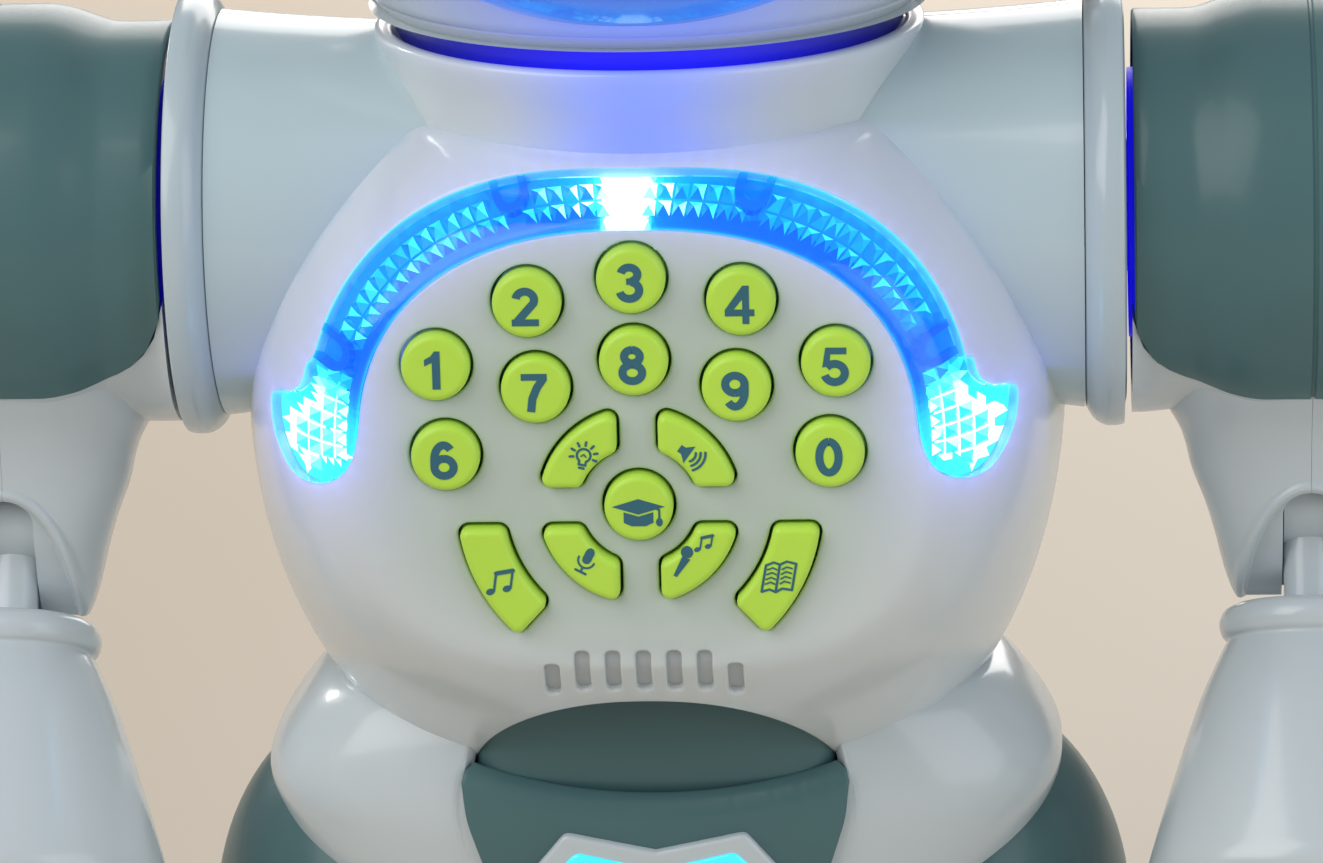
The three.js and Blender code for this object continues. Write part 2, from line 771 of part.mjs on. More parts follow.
// Behind the keys lie the silicone mat, its small posts and the circuit board.
const matFront = flangeBack - keyTravel - gap;
const matBack = matFront - matThickness;
const matShape = polarShape((angle) => keypadRadius(angle) - matInset, torsoMiddle, bodySides);
let keyMat = column(matShape, matBack, matFront);
const matPosts = [[0, -17.9], [0, -41], [28.6, -31.5], [-28.6, -31.5]];
for (const [x, drop] of matPosts) {
  const post = circleShape(x, shoulderHeight + drop, matPostRadius);
  keyMat = keyMat.add(column(post, matBack + gap, flangeFront, 3));
}
addPiece('key_mat', keyMat, 'silicone');
const boardFront = matBack - gap;
addPiece('main_board', column(matShape, boardFront - boardThickness, boardFront), 'circuit');

const speakerOutline = roundedRectangle(
  -speakerWidth / 2,
  speakerWidth / 2,
  -speakerHeight / 2,
  speakerHeight / 2,
  speakerHeight / 2 - 0.01,
);
const speaker = column(speakerOutline, 0, speakerDepth)
  .rotate(speakerTilt, 0, 0)
  .translate(0, -speakerBack, speakerMiddle);
addPiece('speaker', speaker, 'speakerBlack');

// Shoulder rings, fixed to the ends of the yoke
const ringStart = yokeReach + gap;
const ringEnd = ringStart + ringThickness;
for (const [name, side] of [['shoulder_ring_left', 1], ['shoulder_ring_right', -1]]) {
  const ring = turnedAcross([
    [axleRadius + gap, side * ringStart],
    [ringRadius - ringRim, side * ringStart],
    [ringRadius, side * (ringStart + ringRim)],
    [ringRadius, side * (ringEnd - ringRim)],
    [ringRadius - ringRim, side * ringEnd],
    [axleRadius + gap, side * ringEnd],
    [axleRadius + gap, side * ringStart],
  ], drumSides);
  addPiece(name, ring.translate(0, 0, shoulderHeight), 'white');
}

// Back of the torso: battery door, cells and the slide switch
const door = torsoForm(0).subtract(torsoForm(-wall))
  .intersect(column(doorShape(-gap), -backDepth - wall, -backDepth + 2 * wall));
addPiece('battery_door', door, 'white');
const cellCentreY = backDepth - 2 * wall - cellRadius;
const cellPitch = 2 * cellRadius + gap;
let battery = block(
  -cellPitch * cellCount / 2,
  cellPitch * cellCount / 2,
  cellCentreY - cellRadius,
  cellCentreY - cellRadius / 3,
  cellMiddle - cellLength / 2,
  cellMiddle + cellLength / 2,
);
for (let i = 0; i < cellCount; i += 1) {
  const x = (i - (cellCount - 1) / 2) * cellPitch;
  const end = cellLength / 2 - 1;
  const cell = turnedUp([[0, -end], [cellRadius, -end], [cellRadius, end], [0, end]], smallSides);
  battery = battery.add(cell.translate(x, cellCentreY, cellMiddle));
}
addPiece('battery_pack', battery, 'cell');
const switchX = -switchTravel / 2;
const switchInside = backDepth - wall - gap;
const powerSwitch = block(
  switchX - switchKnobWidth / 2,
  switchX + switchKnobWidth / 2,
  switchInside - 1,
  backDepth + switchProud,
  switchHeight - switchKnobHeight / 2,
  switchHeight + switchKnobHeight / 2,
).add(block(
  switchX - switchKnobWidth,
  switchX + switchKnobWidth,
  switchInside - 1.2,
  switchInside,
  switchHeight - switchPlateHeight / 2,
  switchHeight + switchPlateHeight / 2,
));
addPiece('power_switch', powerSwitch, 'grey');

// ---- Waist -------------------------------------------------------------------

const abdomenRing = (z) => superRing(0, z, abdomenHalfWidth, abdomenDepth, 2, bodySides);
const abdomenBase = archMiddle - archRise / 2;
const abdomen = loft([abdomenRing(abdomenBase), abdomenRing(abdomenBase + abdomenHeight)])
  .intersect(torsoForm(-wall - gap))
  .intersect(block(-far, far, -far, 0, 0, far));
addPiece('abdomen', abdomen, 'abdomenGrey');

// Pelvis sections: [drop below the top, half width, half depth], joined smoothly.
const pelvisSections = [
  [0, 41, 24.5],
  [5, 47, 27.5],
  [14, 52.4, 29],
  [22, 50, 28.5],
  [30, 45, 26.5],
  [38, 36, 23],
  [pelvisHeight, 25, 18],
];

function pelvisForm(grow) {
  const curve = curveThrough(pelvisSections);
  const rings = [];
  for (let i = 0; i <= pelvisSteps; i += 1) {
    const section = curve.getPoint(i / pelvisSteps);
    let height = pelvisTop - section.x;
    if (i === 0) height += Math.max(grow, 0);
    if (i === pelvisSteps) height -= Math.max(grow, 0);
    rings.push(superRing(0, height, section.y + grow, section.z + grow, pelvisPower, pelvisSides));
  }
  return loft(rings);
}

function beltShape(grow) {
  const shape = new THREE.Shape();
  const bottom = beltTop - beltHeight - grow;
  const top = beltTop + grow;
  shape.moveTo(-beltHalfWidth - grow, top);
  shape.lineTo(-beltLowHalfWidth - grow, bottom);
  shape.lineTo(beltLowHalfWidth + grow, bottom);
  shape.lineTo(beltHalfWidth + grow, top);
  shape.quadraticCurveTo(0, top - 2 * beltDip, -beltHalfWidth - grow, top);
  return shape;
}

// Six-sided buckle with a shallow notch in its upper edge
function buckleShape(inset) {
  const half = buckleHalfWidth - inset;
  const top = buckleTop - inset;
  const bottom = buckleTop - buckleHeight + inset;
  const middle = (top + bottom) / 2 + 1.5;
  const shape = new THREE.Shape();
  shape.moveTo(-half * 0.75, top);
  shape.lineTo(-half, middle);
  shape.lineTo(-half * 0.6, bottom);
  shape.lineTo(half * 0.6, bottom);
  shape.lineTo(half, middle);
  shape.lineTo(half * 0.75, top);
  shape.lineTo(0, top - buckleNotch);
  shape.closePath();
  return shape;
}

const beltFace = 0.5; // belt plate proud of the pelvis
const beltPocket = column(beltShape(0), 0, far, 4)
  .add(block(-beltHalfWidth, beltHalfWidth, -far, 0, beltTop - 2 * beltDip, far)) // open upwards
  .subtract(pelvisForm(beltFace - beltThickness - gap));
const torsoRoom = torsoForm(gap);
const pelvis = pelvisForm(0).subtract(torsoRoom).subtract(beltPocket);
addPiece('pelvis_shell', pelvis, 'white');

const belt = pelvisForm(beltFace).subtract(pelvisForm(beltFace - beltThickness))
  .intersect(column(beltShape(-gap), 0, far, 4))
  .subtract(torsoRoom);
addPiece('belt_plate', belt, 'grey');
const buckleBack = beltFace + gap;
const buckle = pelvisForm(buckleBack + buckleThickness).subtract(pelvisForm(buckleBack))
  .intersect(column(buckleShape(0), 0, far))
  .subtract(column(buckleShape(buckleFrame), 0, far));
addPiece('belt_buckle', buckle, 'white');
const beltLight = pelvisForm(buckleBack + buckleThickness / 2).subtract(pelvisForm(buckleBack))
  .intersect(column(buckleShape(buckleFrame + gap), 0, far));
addPiece('belt_light', beltLight, 'cyanLight');

// ---- Head ----------------------------------------------------------------------

const headRise = headBase + headHeight - headMiddle;

// The head's outside, larger all round by grow, cut flat at the base.
function headForm(grow) {
  const share = grow < 0 ? insideShare : 1;
  const sides = bodySides / share;
  const steps = headSteps / share;
  const rings = [];
  for (let i = 1; i < steps; i += 1) {
    const tilt = -Math.PI / 2 + (Math.PI * i) / steps;
    const level = Math.sin(tilt);
    const width = (1 - Math.abs(level) ** headPower) ** (1 / headPower);
    const height = headMiddle + level * ((level > 0 ? headRise : headBelow) + grow);
    const ring = [];
    for (let j = 0; j < sides; j += 1) {
      const angle = (2 * Math.PI * j) / sides;
      const r = width * superRadius(angle, headHalfWidth + grow, headHalfDepth + grow, headPower);
      ring.push(new THREE.Vector3(r * Math.cos(angle), r * Math.sin(angle), height));
    }
    rings.push(ring);
  }
  rings.push(rings[0].map(() => new THREE.Vector3(0, 0, headMiddle + headRise + grow)));
  return loft(rings).intersect(block(-far, far, -far, far, headBase - Math.min(grow, 0), headBase + far));
}

const rim = turnedUp([
  [0, headBase],
  [headRimRadius - 0.5, headBase],
  [headRimRadius, headBase + 0.5],
  [headRimRadius, headBase + headRimHeight],
  [0, headBase + headRimHeight],
], bodySides);
const neckBore = turnedUp([
  [0, headBase - wall],
  [neckRadius + gap, headBase - wall],
  [neckRadius + gap, headBase + 2 * wall],
  [0, headBase + 2 * wall],
], drumSides);
const headCasing = headForm(0).add(rim).subtract(headForm(-wall)).subtract(neckBore);
const visorShape = (grow) => polarShape(
  (angle) => superRadius(angle, visorHalfWidth, visorHalfHeight, visorPower) + grow,
  visorMiddle,
  bodySides,
);
const headFront = headCasing.intersect(frontHalf).subtract(column(visorShape(0), 0, far));
addPiece('head_front_shell', headFront, 'white');
addPiece('head_rear_shell', headCasing.intersect(backHalf), 'white');

const visor = headForm(0).subtract(headForm(-visorThickness)).intersect(column(visorShape(-gap), 0, far));
addPiece('face_visor', visor, 'visorBlue');
const lightFront = -visorThickness - gap;
let lightOutline = column(circleShape(eyeSpacing / 2, headMiddle, eyeRadius), 0, far, 6)
  .add(column(circleShape(-eyeSpacing / 2, headMiddle, eyeRadius), 0, far, 6));
const lightStemFoot = visorMiddle - visorHalfHeight + 2.4;
lightOutline = lightOutline
  .add(block(-eyeSpacing / 2, eyeSpacing / 2, -far, 0, headMiddle - 2, headMiddle + 2))
  .add(block(-2, 2, -far, 0, lightStemFoot, headMiddle));
const faceLight = headForm(lightFront).subtract(headForm(lightFront - wall)).intersect(lightOutline);
addPiece('face_light', faceLight, 'cyanLight');

const earEnd = headHalfWidth + earReach;
for (const [name, side] of [['ear_cap_left', 1], ['ear_cap_right', -1]]) {
  const cap = turnedAcross([
    [0, side * (earEnd - 4 * earReach)],
    [earRadius, side * (earEnd - 4 * earReach)],
    [earRadius, side * (earEnd - 1.4)],
    [earRadius - 1.4, side * earEnd],
    [earRadius - 4, side * earEnd],
    [earRadius - 5, side * (earEnd - 1)],
    [0, side * (earEnd - 1)],
  ], drumSides).translate(0, 0, headMiddle);
  addPiece(name, cap.subtract(headForm(gap)), 'grey');
}

const headFloor = headBase + wall;
const neckPost = turnedUp([
  [0, collarBase - gap - neckFlangeThickness],
  [neckFlangeRadius, collarBase - gap - neckFlangeThickness],
  [neckFlangeRadius, collarBase - gap],
  [neckRadius, collarBase - gap],
  [neckRadius, headFloor + gap],
  [neckFlangeRadius, headFloor + gap],
  [neckFlangeRadius, headFloor + gap + neckFlangeThickness],
  [0, headFloor + gap + neckFlangeThickness],
], drumSides);
addPiece('neck_post', neckPost, 'grey');

// ---- Arms ----------------------------------------------------------------------

// The arm is drawn for the robot's left side with the shoulder axis at the
// origin, and mirrored for its right side.
const armInnerEnd = ringEnd + gap + hubLength;

function drumForm(grow) {
  const radius = drumRadius + grow;
  const inner = armInnerEnd - grow;
  const outer = drumOuterEnd + grow;
  const profile = [[0, inner]];
  for (let i = 0; i <= drumTurns; i += 1) {
    const angle = (Math.PI / 2) * (i / drumTurns);
    profile.push([
      radius - drumInnerRound * (1 - Math.sin(angle)),
      inner + drumInnerRound * (1 - Math.cos(angle)),
    ]);
  }
  for (let i = 0; i <= drumTurns; i += 1) {
    const angle = (Math.PI / 2) * (i / drumTurns);
    profile.push([
      radius - drumOuterRound * (1 - Math.cos(angle)),
      outer - drumOuterRound * (1 - Math.sin(angle)),
    ]);
  }
  profile.push([0, outer]);
  return turnedAcross(profile, drumSides);
}

// Upper arm below the drum: [height, half width, half depth]
const strutSections = [
  [-drumRadius * 0.6, 19, 17],
  [-drumRadius, 16.4, 11.5],
  [-elbowDrop + cuffDrop, 15.4, cuffDrop - 2 * gap],
  [-elbowDrop - elbowRadius, 9.8, cuffDrop - 2 * gap],
];

function strutForm() {
  const curve = curveThrough(strutSections);
  const rings = [];
  for (let i = 0; i <= strutSteps; i += 1) {
    const section = curve.getPoint(i / strutSteps);
    rings.push(superRing(armMiddle, section.x, section.y, section.z, strutPower, drumSides));
  }
  return loft(rings);
}

function upperArm() {
  const elbowEnd = turnedAcross([
    [0, armInnerEnd],
    [elbowRadius, armInnerEnd],
    [elbowRadius, drumOuterEnd],
    [0, drumOuterEnd],
  ]).translate(0, 0, -elbowDrop).add(block(0, far, -far, far, -elbowDrop, far));
  const slotHalf = tongueWidth / 2 + gap;
  const slot = block(
    armMiddle - slotHalf,
    armMiddle + slotHalf,
    -2 * elbowRadius,
    2 * elbowRadius,
    -elbowDrop - 2 * elbowRadius,
    -elbowDrop + tongueRadius + 2 * gap,
  );
  const pinBore = turnedAcross([
    [0, armMiddle - pinEnd],
    [elbowPinRadius + gap, armMiddle - pinEnd],
    [elbowPinRadius + gap, armMiddle + pinEnd],
    [0, armMiddle + pinEnd],
  ], smallSides).translate(0, 0, -elbowDrop);
  const hollowRadius = drumRadius - wall - drumOuterRound / 3;
  const hollow = turnedAcross([
    [0, armInnerEnd + wall],
    [hollowRadius, armInnerEnd + wall],
    [hollowRadius, drumOuterEnd - wall - drumOuterRound / 3],
    [0, drumOuterEnd - wall - drumOuterRound / 3],
  ], smallSides);
  return drumForm(0).add(strutForm().intersect(elbowEnd))
    .subtract(hollow)
    .subtract(slot)
    .subtract(pinBore);
}

function shoulderAxle() {
  const flangeOuter = yokeReach - wall - gap;
  return turnedAcross([
    [0, flangeOuter - axleFlangeThickness],
    [axleFlangeRadius, flangeOuter - axleFlangeThickness],
    [axleFlangeRadius, flangeOuter],
    [axleRadius, flangeOuter],
    [axleRadius, ringEnd + gap],
    [hubRadius, ringEnd + gap],
    [hubRadius, armInnerEnd + wall / 2],
    [0, armInnerEnd + wall / 2],
  ], drumSides);
}

function padShape() {
  const inner = armInnerEnd + drumInnerRound / 4;
  const outer = drumOuterEnd + 2 * padThickness;
  return roundedRectangle(inner, outer, -padDrop, drumRadius + padCorner + padThickness, padCorner);
}

function forearm() {
  const stem = new THREE.Shape();
  stem.absarc(0, 0, tongueRadius, 0, Math.PI, false);
  stem.lineTo(-tongueRadius, -cuffDrop - cuffHeight / 2);
  stem.lineTo(tongueRadius, -cuffDrop - cuffHeight / 2);
  const tongue = slab(stem, armMiddle - tongueWidth / 2, armMiddle + tongueWidth / 2, 5);
  const reach = pinEnd - gap;
  const pin = turnedAcross([
    [0, armMiddle - reach],
    [elbowPinRadius, armMiddle - reach],
    [elbowPinRadius, armMiddle + reach],
    [0, armMiddle + reach],
  ], smallSides);
  const cuffBase = -cuffDrop - cuffHeight;
  const bell = turnedUp([
    [0, -cuffDrop],
    [cuffRadius - cuffEdge, -cuffDrop],
    [cuffRadius, -cuffDrop - cuffEdge],
    [cuffRadius, cuffBase + cuffEdge],
    [cuffRadius - cuffEdge, cuffBase],
    [bellRadius - bellNeckInset, -bellDrop + bellNeckRise],
    [bellRadius - bellFlankInset, -bellDrop + bellFlankRise],
    [bellRadius, -bellDrop],
    [bellRadius - bellLipInset, -wristDrop + bellLipRise],
    [bellRadius - bellEndInset, -wristDrop],
    [0, -wristDrop],
  ]);
  const hollow = turnedUp([
    [0, cuffBase - 5],
    [cuffRadius - wall, cuffBase - 5],
    [wristRadius, -bellDrop],
    [wristRadius, -wristDrop - wall],
    [0, -wristDrop - wall],
  ]);
  return bell.subtract(hollow).translate(armMiddle, 0, 0).add(tongue).add(pin);
}

function hand() {
  const plugRadius = wristRadius - gap;
  const palm = -gripDrop + gripOuter - palmSunk;
  const plug = turnedUp([
    [0, palm],
    [plugRadius - palmEdge, palm],
    [plugRadius, palm + palmSunk],
    [plugRadius, -wristDrop + wall],
    [0, -wristDrop + wall],
  ]).translate(armMiddle, 0, 0);
  const clawOutline = circleShape(0, -gripDrop, gripOuter);
  const claw = slab(clawOutline, armMiddle - gripWidth / 2, armMiddle + gripWidth / 2);
  const room = slab(circleShape(0, -gripDrop, gripInner), 0, 2 * armMiddle);
  const mouth = block(0, 2 * armMiddle, -gripMouth / 2, gripMouth / 2, -gripDrop - 2 * gripOuter, -gripDrop);
  return plug.add(claw).subtract(room).subtract(mouth);
}

const armInside = block(0, armMiddle - partingGap / 2, -far, far, -far, far);
const armOutside = block(armMiddle + partingGap / 2, far, -far, far, -far, far);
const upperArmWhole = upperArm();
const armPieces = {
  upper_arm_inner: [upperArmWhole.intersect(armInside).add(shoulderAxle()), 'white'],
  upper_arm_outer: [upperArmWhole.intersect(armOutside), 'white'],
  shoulder_pad: [
    drumForm(gap + padThickness)
      .subtract(drumForm(gap))
      .subtract(strutForm())
      .intersect(column(padShape(), -far, far)),
    'grey',
  ],
};
const forearmPieces = { forearm: [forearm(), 'white'], hand: [hand(), 'grey'] };

for (const [sideName, side, swing, bend] of [
  ['left', 1, leftSwing, leftBend],
  ['right', -1, rightSwing, rightBend],
]) {
  const arm = new THREE.Group();
  arm.position.z = shoulderHeight;
  arm.rotation.x = swing * degrees;
  arm.scale.x = side;
  group.add(arm);
  const lower = new THREE.Group();
  lower.position.z = -elbowDrop;
  lower.rotation.x = bend * degrees;
  arm.add(lower);
  for (const [name, [shape, finish]] of Object.entries(armPieces)) {
    addPiece(`${name}_${sideName}`, shape, finish, arm);
  }
  for (const [name, [shape, finish]] of Object.entries(forearmPieces)) {
    addPiece(`${name}_${sideName}`, shape, finish, lower);
  }
}

// ---- Legs ----------------------------------------------------------------------

function thighForm(grow) {
  const geometry = new THREE.SphereGeometry(1, legSides, legSides / 2);
  geometry.scale(thighHalfWidth + grow, thighHalfHeight + grow, thighHalfDepth + grow);
  geometry.rotateX(Math.PI / 2);
  geometry.translate(legMiddle, thighBack, hipHeight);
  return solid(geometry).intersect(block(-far, far, -far, far, thighCut - grow, far));
}

// Boot sections: [height, half width, half depth]
const bootSections = [
  [soleHeight, footHalfWidth - soleEdge, footHalfDepth - soleEdge],
  [soleHeight + soleEdgeHeight, footHalfWidth, footHalfDepth],
  [footHeight, footHalfWidth, footHalfDepth],
  [footHeight + toeRise, footHalfWidth - toeInset, footHalfDepth - toeInsetDepth],
  [footHeight + ankleRise, bootWaistHalfWidth + ankleSpread, bootWaistHalfDepth + ankleSpreadDepth],
  [footHeight + bootWaistRise, bootWaistHalfWidth, bootWaistHalfDepth],
  [bootTop, bootTopHalfWidth, bootTopHalfDepth],
];

const bootForm = () => loft(bootSections.map(([height, halfWidth, halfDepth]) => (
  superRing(legMiddle, height, halfWidth, halfDepth, bootPower, legSides)
)));

function wheelRoom(y) {
  const half = wheelWidth / 2 + gap;
  const radius = wheelRadius + wheelPlay;
  const well = turnedAcross([[0, -half], [radius, -half], [radius, half], [0, half]], wheelSides)
    .add(block(-half, half, -radius, radius, -2 * radius, 0));
  const reach = wheelWidth / 2 + wheelAxleReach + gap;
  const bore = wheelAxleRadius + gap;
  const axle = turnedAcross([[0, -reach], [bore, -reach], [bore, reach], [0, reach]], smallSides);
  return well.add(axle).translate(legMiddle, y, wheelRadius);
}

function wheel() {
  const half = wheelWidth / 2;
  const end = half + wheelAxleReach;
  return turnedAcross([
    [0, -end],
    [wheelAxleRadius, -end],
    [wheelAxleRadius, -half],
    [wheelRadius, -half],
    [wheelRadius, half],
    [wheelAxleRadius, half],
    [wheelAxleRadius, end],
    [0, end],
  ], wheelSides);
}

const boot = bootForm()
  .subtract(thighForm(gap))
  .subtract(wheelRoom(-wheelOffset))
  .subtract(wheelRoom(wheelOffset));
const hipRoom = pelvisForm(2 * gap);
const thigh = thighForm(0).subtract(hipRoom).subtract(hipRoom.mirror([1, 0, 0]));
for (const [sideName, side] of [['left', 1], ['right', -1]]) {
  const leg = new THREE.Group();
  leg.scale.x = side;
  group.add(leg);
  addPiece(`thigh_${sideName}`, thigh, 'grey', leg);
  addPiece(`boot_${sideName}`, boot, 'white', leg);
  const atAxle = (y) => wheel().translate(legMiddle, y, wheelRadius);
  addPiece(`drive_wheel_${sideName}`, atAxle(wheelOffset), 'rubber', leg);
  addPiece(`free_wheel_${sideName}`, atAxle(-wheelOffset), 'rubber', leg);
}

export default group;
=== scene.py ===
import bpy
import bmesh
import numpy as np
from mathutils import Matrix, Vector
from mathutils.geometry import delaunay_2d_cdt


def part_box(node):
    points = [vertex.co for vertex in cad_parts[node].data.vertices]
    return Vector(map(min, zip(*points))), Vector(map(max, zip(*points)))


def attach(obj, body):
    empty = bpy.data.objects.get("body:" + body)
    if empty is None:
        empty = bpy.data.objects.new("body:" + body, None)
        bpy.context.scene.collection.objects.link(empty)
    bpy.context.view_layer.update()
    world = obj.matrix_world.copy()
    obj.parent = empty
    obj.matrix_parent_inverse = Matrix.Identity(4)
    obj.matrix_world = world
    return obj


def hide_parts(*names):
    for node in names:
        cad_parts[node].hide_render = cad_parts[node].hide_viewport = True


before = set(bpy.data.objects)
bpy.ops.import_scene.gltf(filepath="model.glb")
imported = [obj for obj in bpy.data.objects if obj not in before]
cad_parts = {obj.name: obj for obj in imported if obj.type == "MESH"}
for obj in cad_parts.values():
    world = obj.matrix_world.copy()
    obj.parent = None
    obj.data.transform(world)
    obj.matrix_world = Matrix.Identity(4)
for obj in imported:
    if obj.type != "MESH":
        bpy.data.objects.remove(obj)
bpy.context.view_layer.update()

# ---- Camera ----------------------------------------------------------------------
# A close view of the chest from a little to the robot's left and from above, through a
# long lens. Its turn, height, roll and scale were fitted to the keys of the photograph.
mm = 0.001
turn, height, roll = np.radians([3.4, 15.0, 1.4])
distance = 900.0
target = np.array([1.45, -20.0, 145.05])


def unit(vectors):
    """Vectors divided by their own lengths."""
    return vectors / np.linalg.norm(vectors, axis=-1, keepdims=True)


def stood_at(axes, place):
    """The matrix that lays X, Y and Z along three unit axes and puts the origin at a place
    in millimetres."""
    return Matrix([*np.column_stack([*axes, np.array(place) * mm]).tolist(), (0, 0, 0, 1)])


backwards = np.array([np.sin(turn) * np.cos(height), -np.cos(turn) * np.cos(height), np.sin(height)])
level = unit(np.cross(-backwards, (0.0, 0.0, 1.0)))
upright = np.cross(level, -backwards)
right = level * np.cos(roll) - upright * np.sin(roll)
up = level * np.sin(roll) + upright * np.cos(roll)
camera_data = bpy.data.cameras.new("camera")
camera_data.sensor_width = 36
camera_data.lens = 190.66
camera_data.clip_end = 20
camera = bpy.data.objects.new("camera", camera_data)
camera.matrix_world = stood_at([right, up, backwards], target + distance * backwards)
bpy.context.scene.collection.objects.link(camera)
bpy.context.scene.camera = camera

# ---- Room ------------------------------------------------------------------------
# A pale warm floor that curves up far behind, under an even pale sky. Its colour is painted
# darker towards -X, a painted fall of light across it. Four area lamps: a large window at
# the upper left, a small one far behind it, one at the right, one behind.
bpy.context.scene.view_settings.view_transform = "Standard"
merge_distance = 0.002


def hold_mesh(name, points, faces):
    """A mesh object of points in millimetres, with doubled points merged and every face
    turned outwards."""
    mesh = bpy.data.meshes.new(name)
    mesh.from_pydata((np.asarray(points) * mm).tolist(), [], faces)
    work = bmesh.new()
    work.from_mesh(mesh)
    bmesh.ops.remove_doubles(work, verts=work.verts, dist=merge_distance * mm)
    bmesh.ops.recalc_face_normals(work, faces=work.faces)
    work.to_mesh(mesh)
    work.free()
    item = bpy.data.objects.new(name, mesh)
    bpy.context.scene.collection.objects.link(item)
    return item


def surface_faces(rows, columns, closed):
    """Four-sided faces of a grid of points that is numbered row by row. A closed grid
    joins its last column to its first."""
    starts = np.arange(columns if closed else columns - 1)
    row, column = np.meshgrid(np.arange(rows - 1), starts, indexing="ij")
    here = row * columns + column
    beside = row * columns + (column + 1) % columns
    return np.stack([here, beside, beside + columns, here + columns], -1).reshape(-1, 4).tolist()


def tree_of(material):
    """The nodes, the links and the shader of a material."""
    tree = material.node_tree
    return tree.nodes, tree.links, tree.nodes["Principled BSDF"]


def new_material(name):
    """A material, with its nodes, its links and its shader."""
    material = bpy.data.materials.new(name)
    material.use_nodes = True
    return material, *tree_of(material)


room_half_width = 6000.0
room_depth = np.array([-4000.0, 5000.0, 5600.0, 5900.0, 6000.0, 6000.0])
room_height = np.array([0.0, 0.0, 120.0, 420.0, 1000.0, 5000.0])
room_points = np.concatenate([
    np.stack([np.full(len(room_depth), side * room_half_width), room_depth, room_height], 1)
    for side in (-1, 1)
])
floor = hold_mesh("floor", room_points, surface_faces(2, len(room_depth), False))
floor.data.flip_normals()
floor_paint, nodes, links, shader = new_material("warm_paper")
shader.inputs["Roughness"].default_value = 0.9
floor_place, apart = nodes.new("ShaderNodeTexCoord"), nodes.new("ShaderNodeSeparateXYZ")
links.new(floor_place.outputs["Object"], apart.inputs["Vector"])
# Painted light: the floor's colour runs from darker at -X to paler at +X
painted_light_reach = 160.0
painted_light_across_floor = nodes.new("ShaderNodeMapRange")
painted_light_across_floor.inputs["From Min"].default_value = -painted_light_reach * mm
painted_light_across_floor.inputs["From Max"].default_value = painted_light_reach * mm
links.new(apart.outputs["X"], painted_light_across_floor.inputs["Value"])
paper_and_light = nodes.new("ShaderNodeValToRGB")
paper_and_light.color_ramp.elements[0].color = (0.60, 0.51, 0.41, 1)
paper_and_light.color_ramp.elements[1].color = (0.75, 0.67, 0.57, 1)
links.new(painted_light_across_floor.outputs["Result"], paper_and_light.inputs["Fac"])
links.new(paper_and_light.outputs["Color"], shader.inputs["Base Color"])
floor.data.materials.append(floor_paint)

for name, place, aim, power, size, colour in (
    ("window_light", (-1300, -1150, 1500), (0, 0, 150), 28, 1900, (1.0, 0.98, 0.95)),
    ("far_window", (-1400, 1200, 960), (0, 0, 150), 5, 260, (1.0, 0.98, 0.95)),
    ("side_light", (1500, -900, 700), (0, 0, 150), 9, 1500, (0.92, 0.96, 1.0)),
    ("back_light", (150, 1500, 760), (0, 0, 180), 12, 1100, (1.0, 0.96, 0.93)),
):
    lamp_data = bpy.data.lights.new(name, "AREA")
    lamp_data.energy = power
    lamp_data.size = size * mm
    lamp_data.color = colour
    lamp = bpy.data.objects.new(name, lamp_data)
    away = unit(np.array(place, float) - aim)
    across = unit(np.cross((0.0, 0.0, 1.0), away))
    lamp.matrix_world = stood_at([across, np.cross(away, across), away], place)
    bpy.context.scene.collection.objects.link(lamp)

sky = bpy.data.worlds.new("pale_sky")
sky.use_nodes = True
sky.node_tree.nodes["Background"].inputs["Color"].default_value = (0.80, 0.88, 0.95, 1)
sky.node_tree.nodes["Background"].inputs["Strength"].default_value = 0.38
bpy.context.scene.world = sky

# ---- Torso casing ----------------------------------------------------------------
# Two glossy white injection mouldings, each with its halves of the shoulder sleeve, that
# meet at a fine line round the sides. The front is flat at the keypad and cut for keys, light
# arc, slots and waist, the back for the battery door and the switch.
torso_middle = 149.0
torso_half, torso_rise, torso_fall = 53.4, 50.5, 65.0
keypad_half, keypad_rise, keypad_fall = 35.0, 28.9, 27.5
back_half = 29.0
keypad_depth = 46.5
back_depth = 44.0
shoulder_height = 170.0
ledge_height = 184.75
parting = 0.15
wall = 2.2


def compass(angle):
    """Unit vectors (cos, sin) at angles."""
    return np.stack([np.cos(angle), np.sin(angle)], -1)


def super_radius(angle, half_width, half_height, power):
    """Distance from the middle to a superellipse |x/a|^n + |z/b|^n = 1 at an angle."""
    across = np.abs(np.cos(angle) / half_width) ** power
    upright = np.abs(np.sin(angle) / half_height) ** power
    return (across + upright) ** (-1 / power)


def outline_radius(angle):
    """Widest outline of the torso: a superellipse of power 1.8 above its middle, 2.1 below."""
    upper = super_radius(angle, torso_half, torso_rise, 1.8)
    return np.where(np.sin(angle) >= 0, upper, super_radius(angle, torso_half, torso_fall, 2.1))


def keypad_arch(angle, out=0.0):
    """Upper edge of the flat keypad, or a line some way outside it: a superellipse of power
    2.4."""
    return super_radius(angle, keypad_half + out, keypad_rise + out, 2.4)


def keypad_radius(angle):
    """Edge of the flat keypad: power 2.4 above the middle and 3 below it."""
    lower = super_radius(angle, keypad_half, keypad_fall, 3.0)
    return np.where(np.sin(angle) >= 0, keypad_arch(angle), lower)


def back_radius(angle):
    """Edge of the flat back panel: a superellipse of power 3."""
    return super_radius(angle, back_half, back_half, 3.0)


def eased_ledge(x, z):
    """Heights bend over into the ledge round the neck within about 2 mm: a smooth minimum
    of z and the ledge's height, which rises by 1.1 mm to 28 mm beside the middle."""
    soft = 1.2
    ledge = ledge_height + 1.1 * (x / 28) ** 2
    return 0.5 * (z + ledge - np.sqrt((z - ledge) ** 2 + soft ** 2)) + soft * 0.06


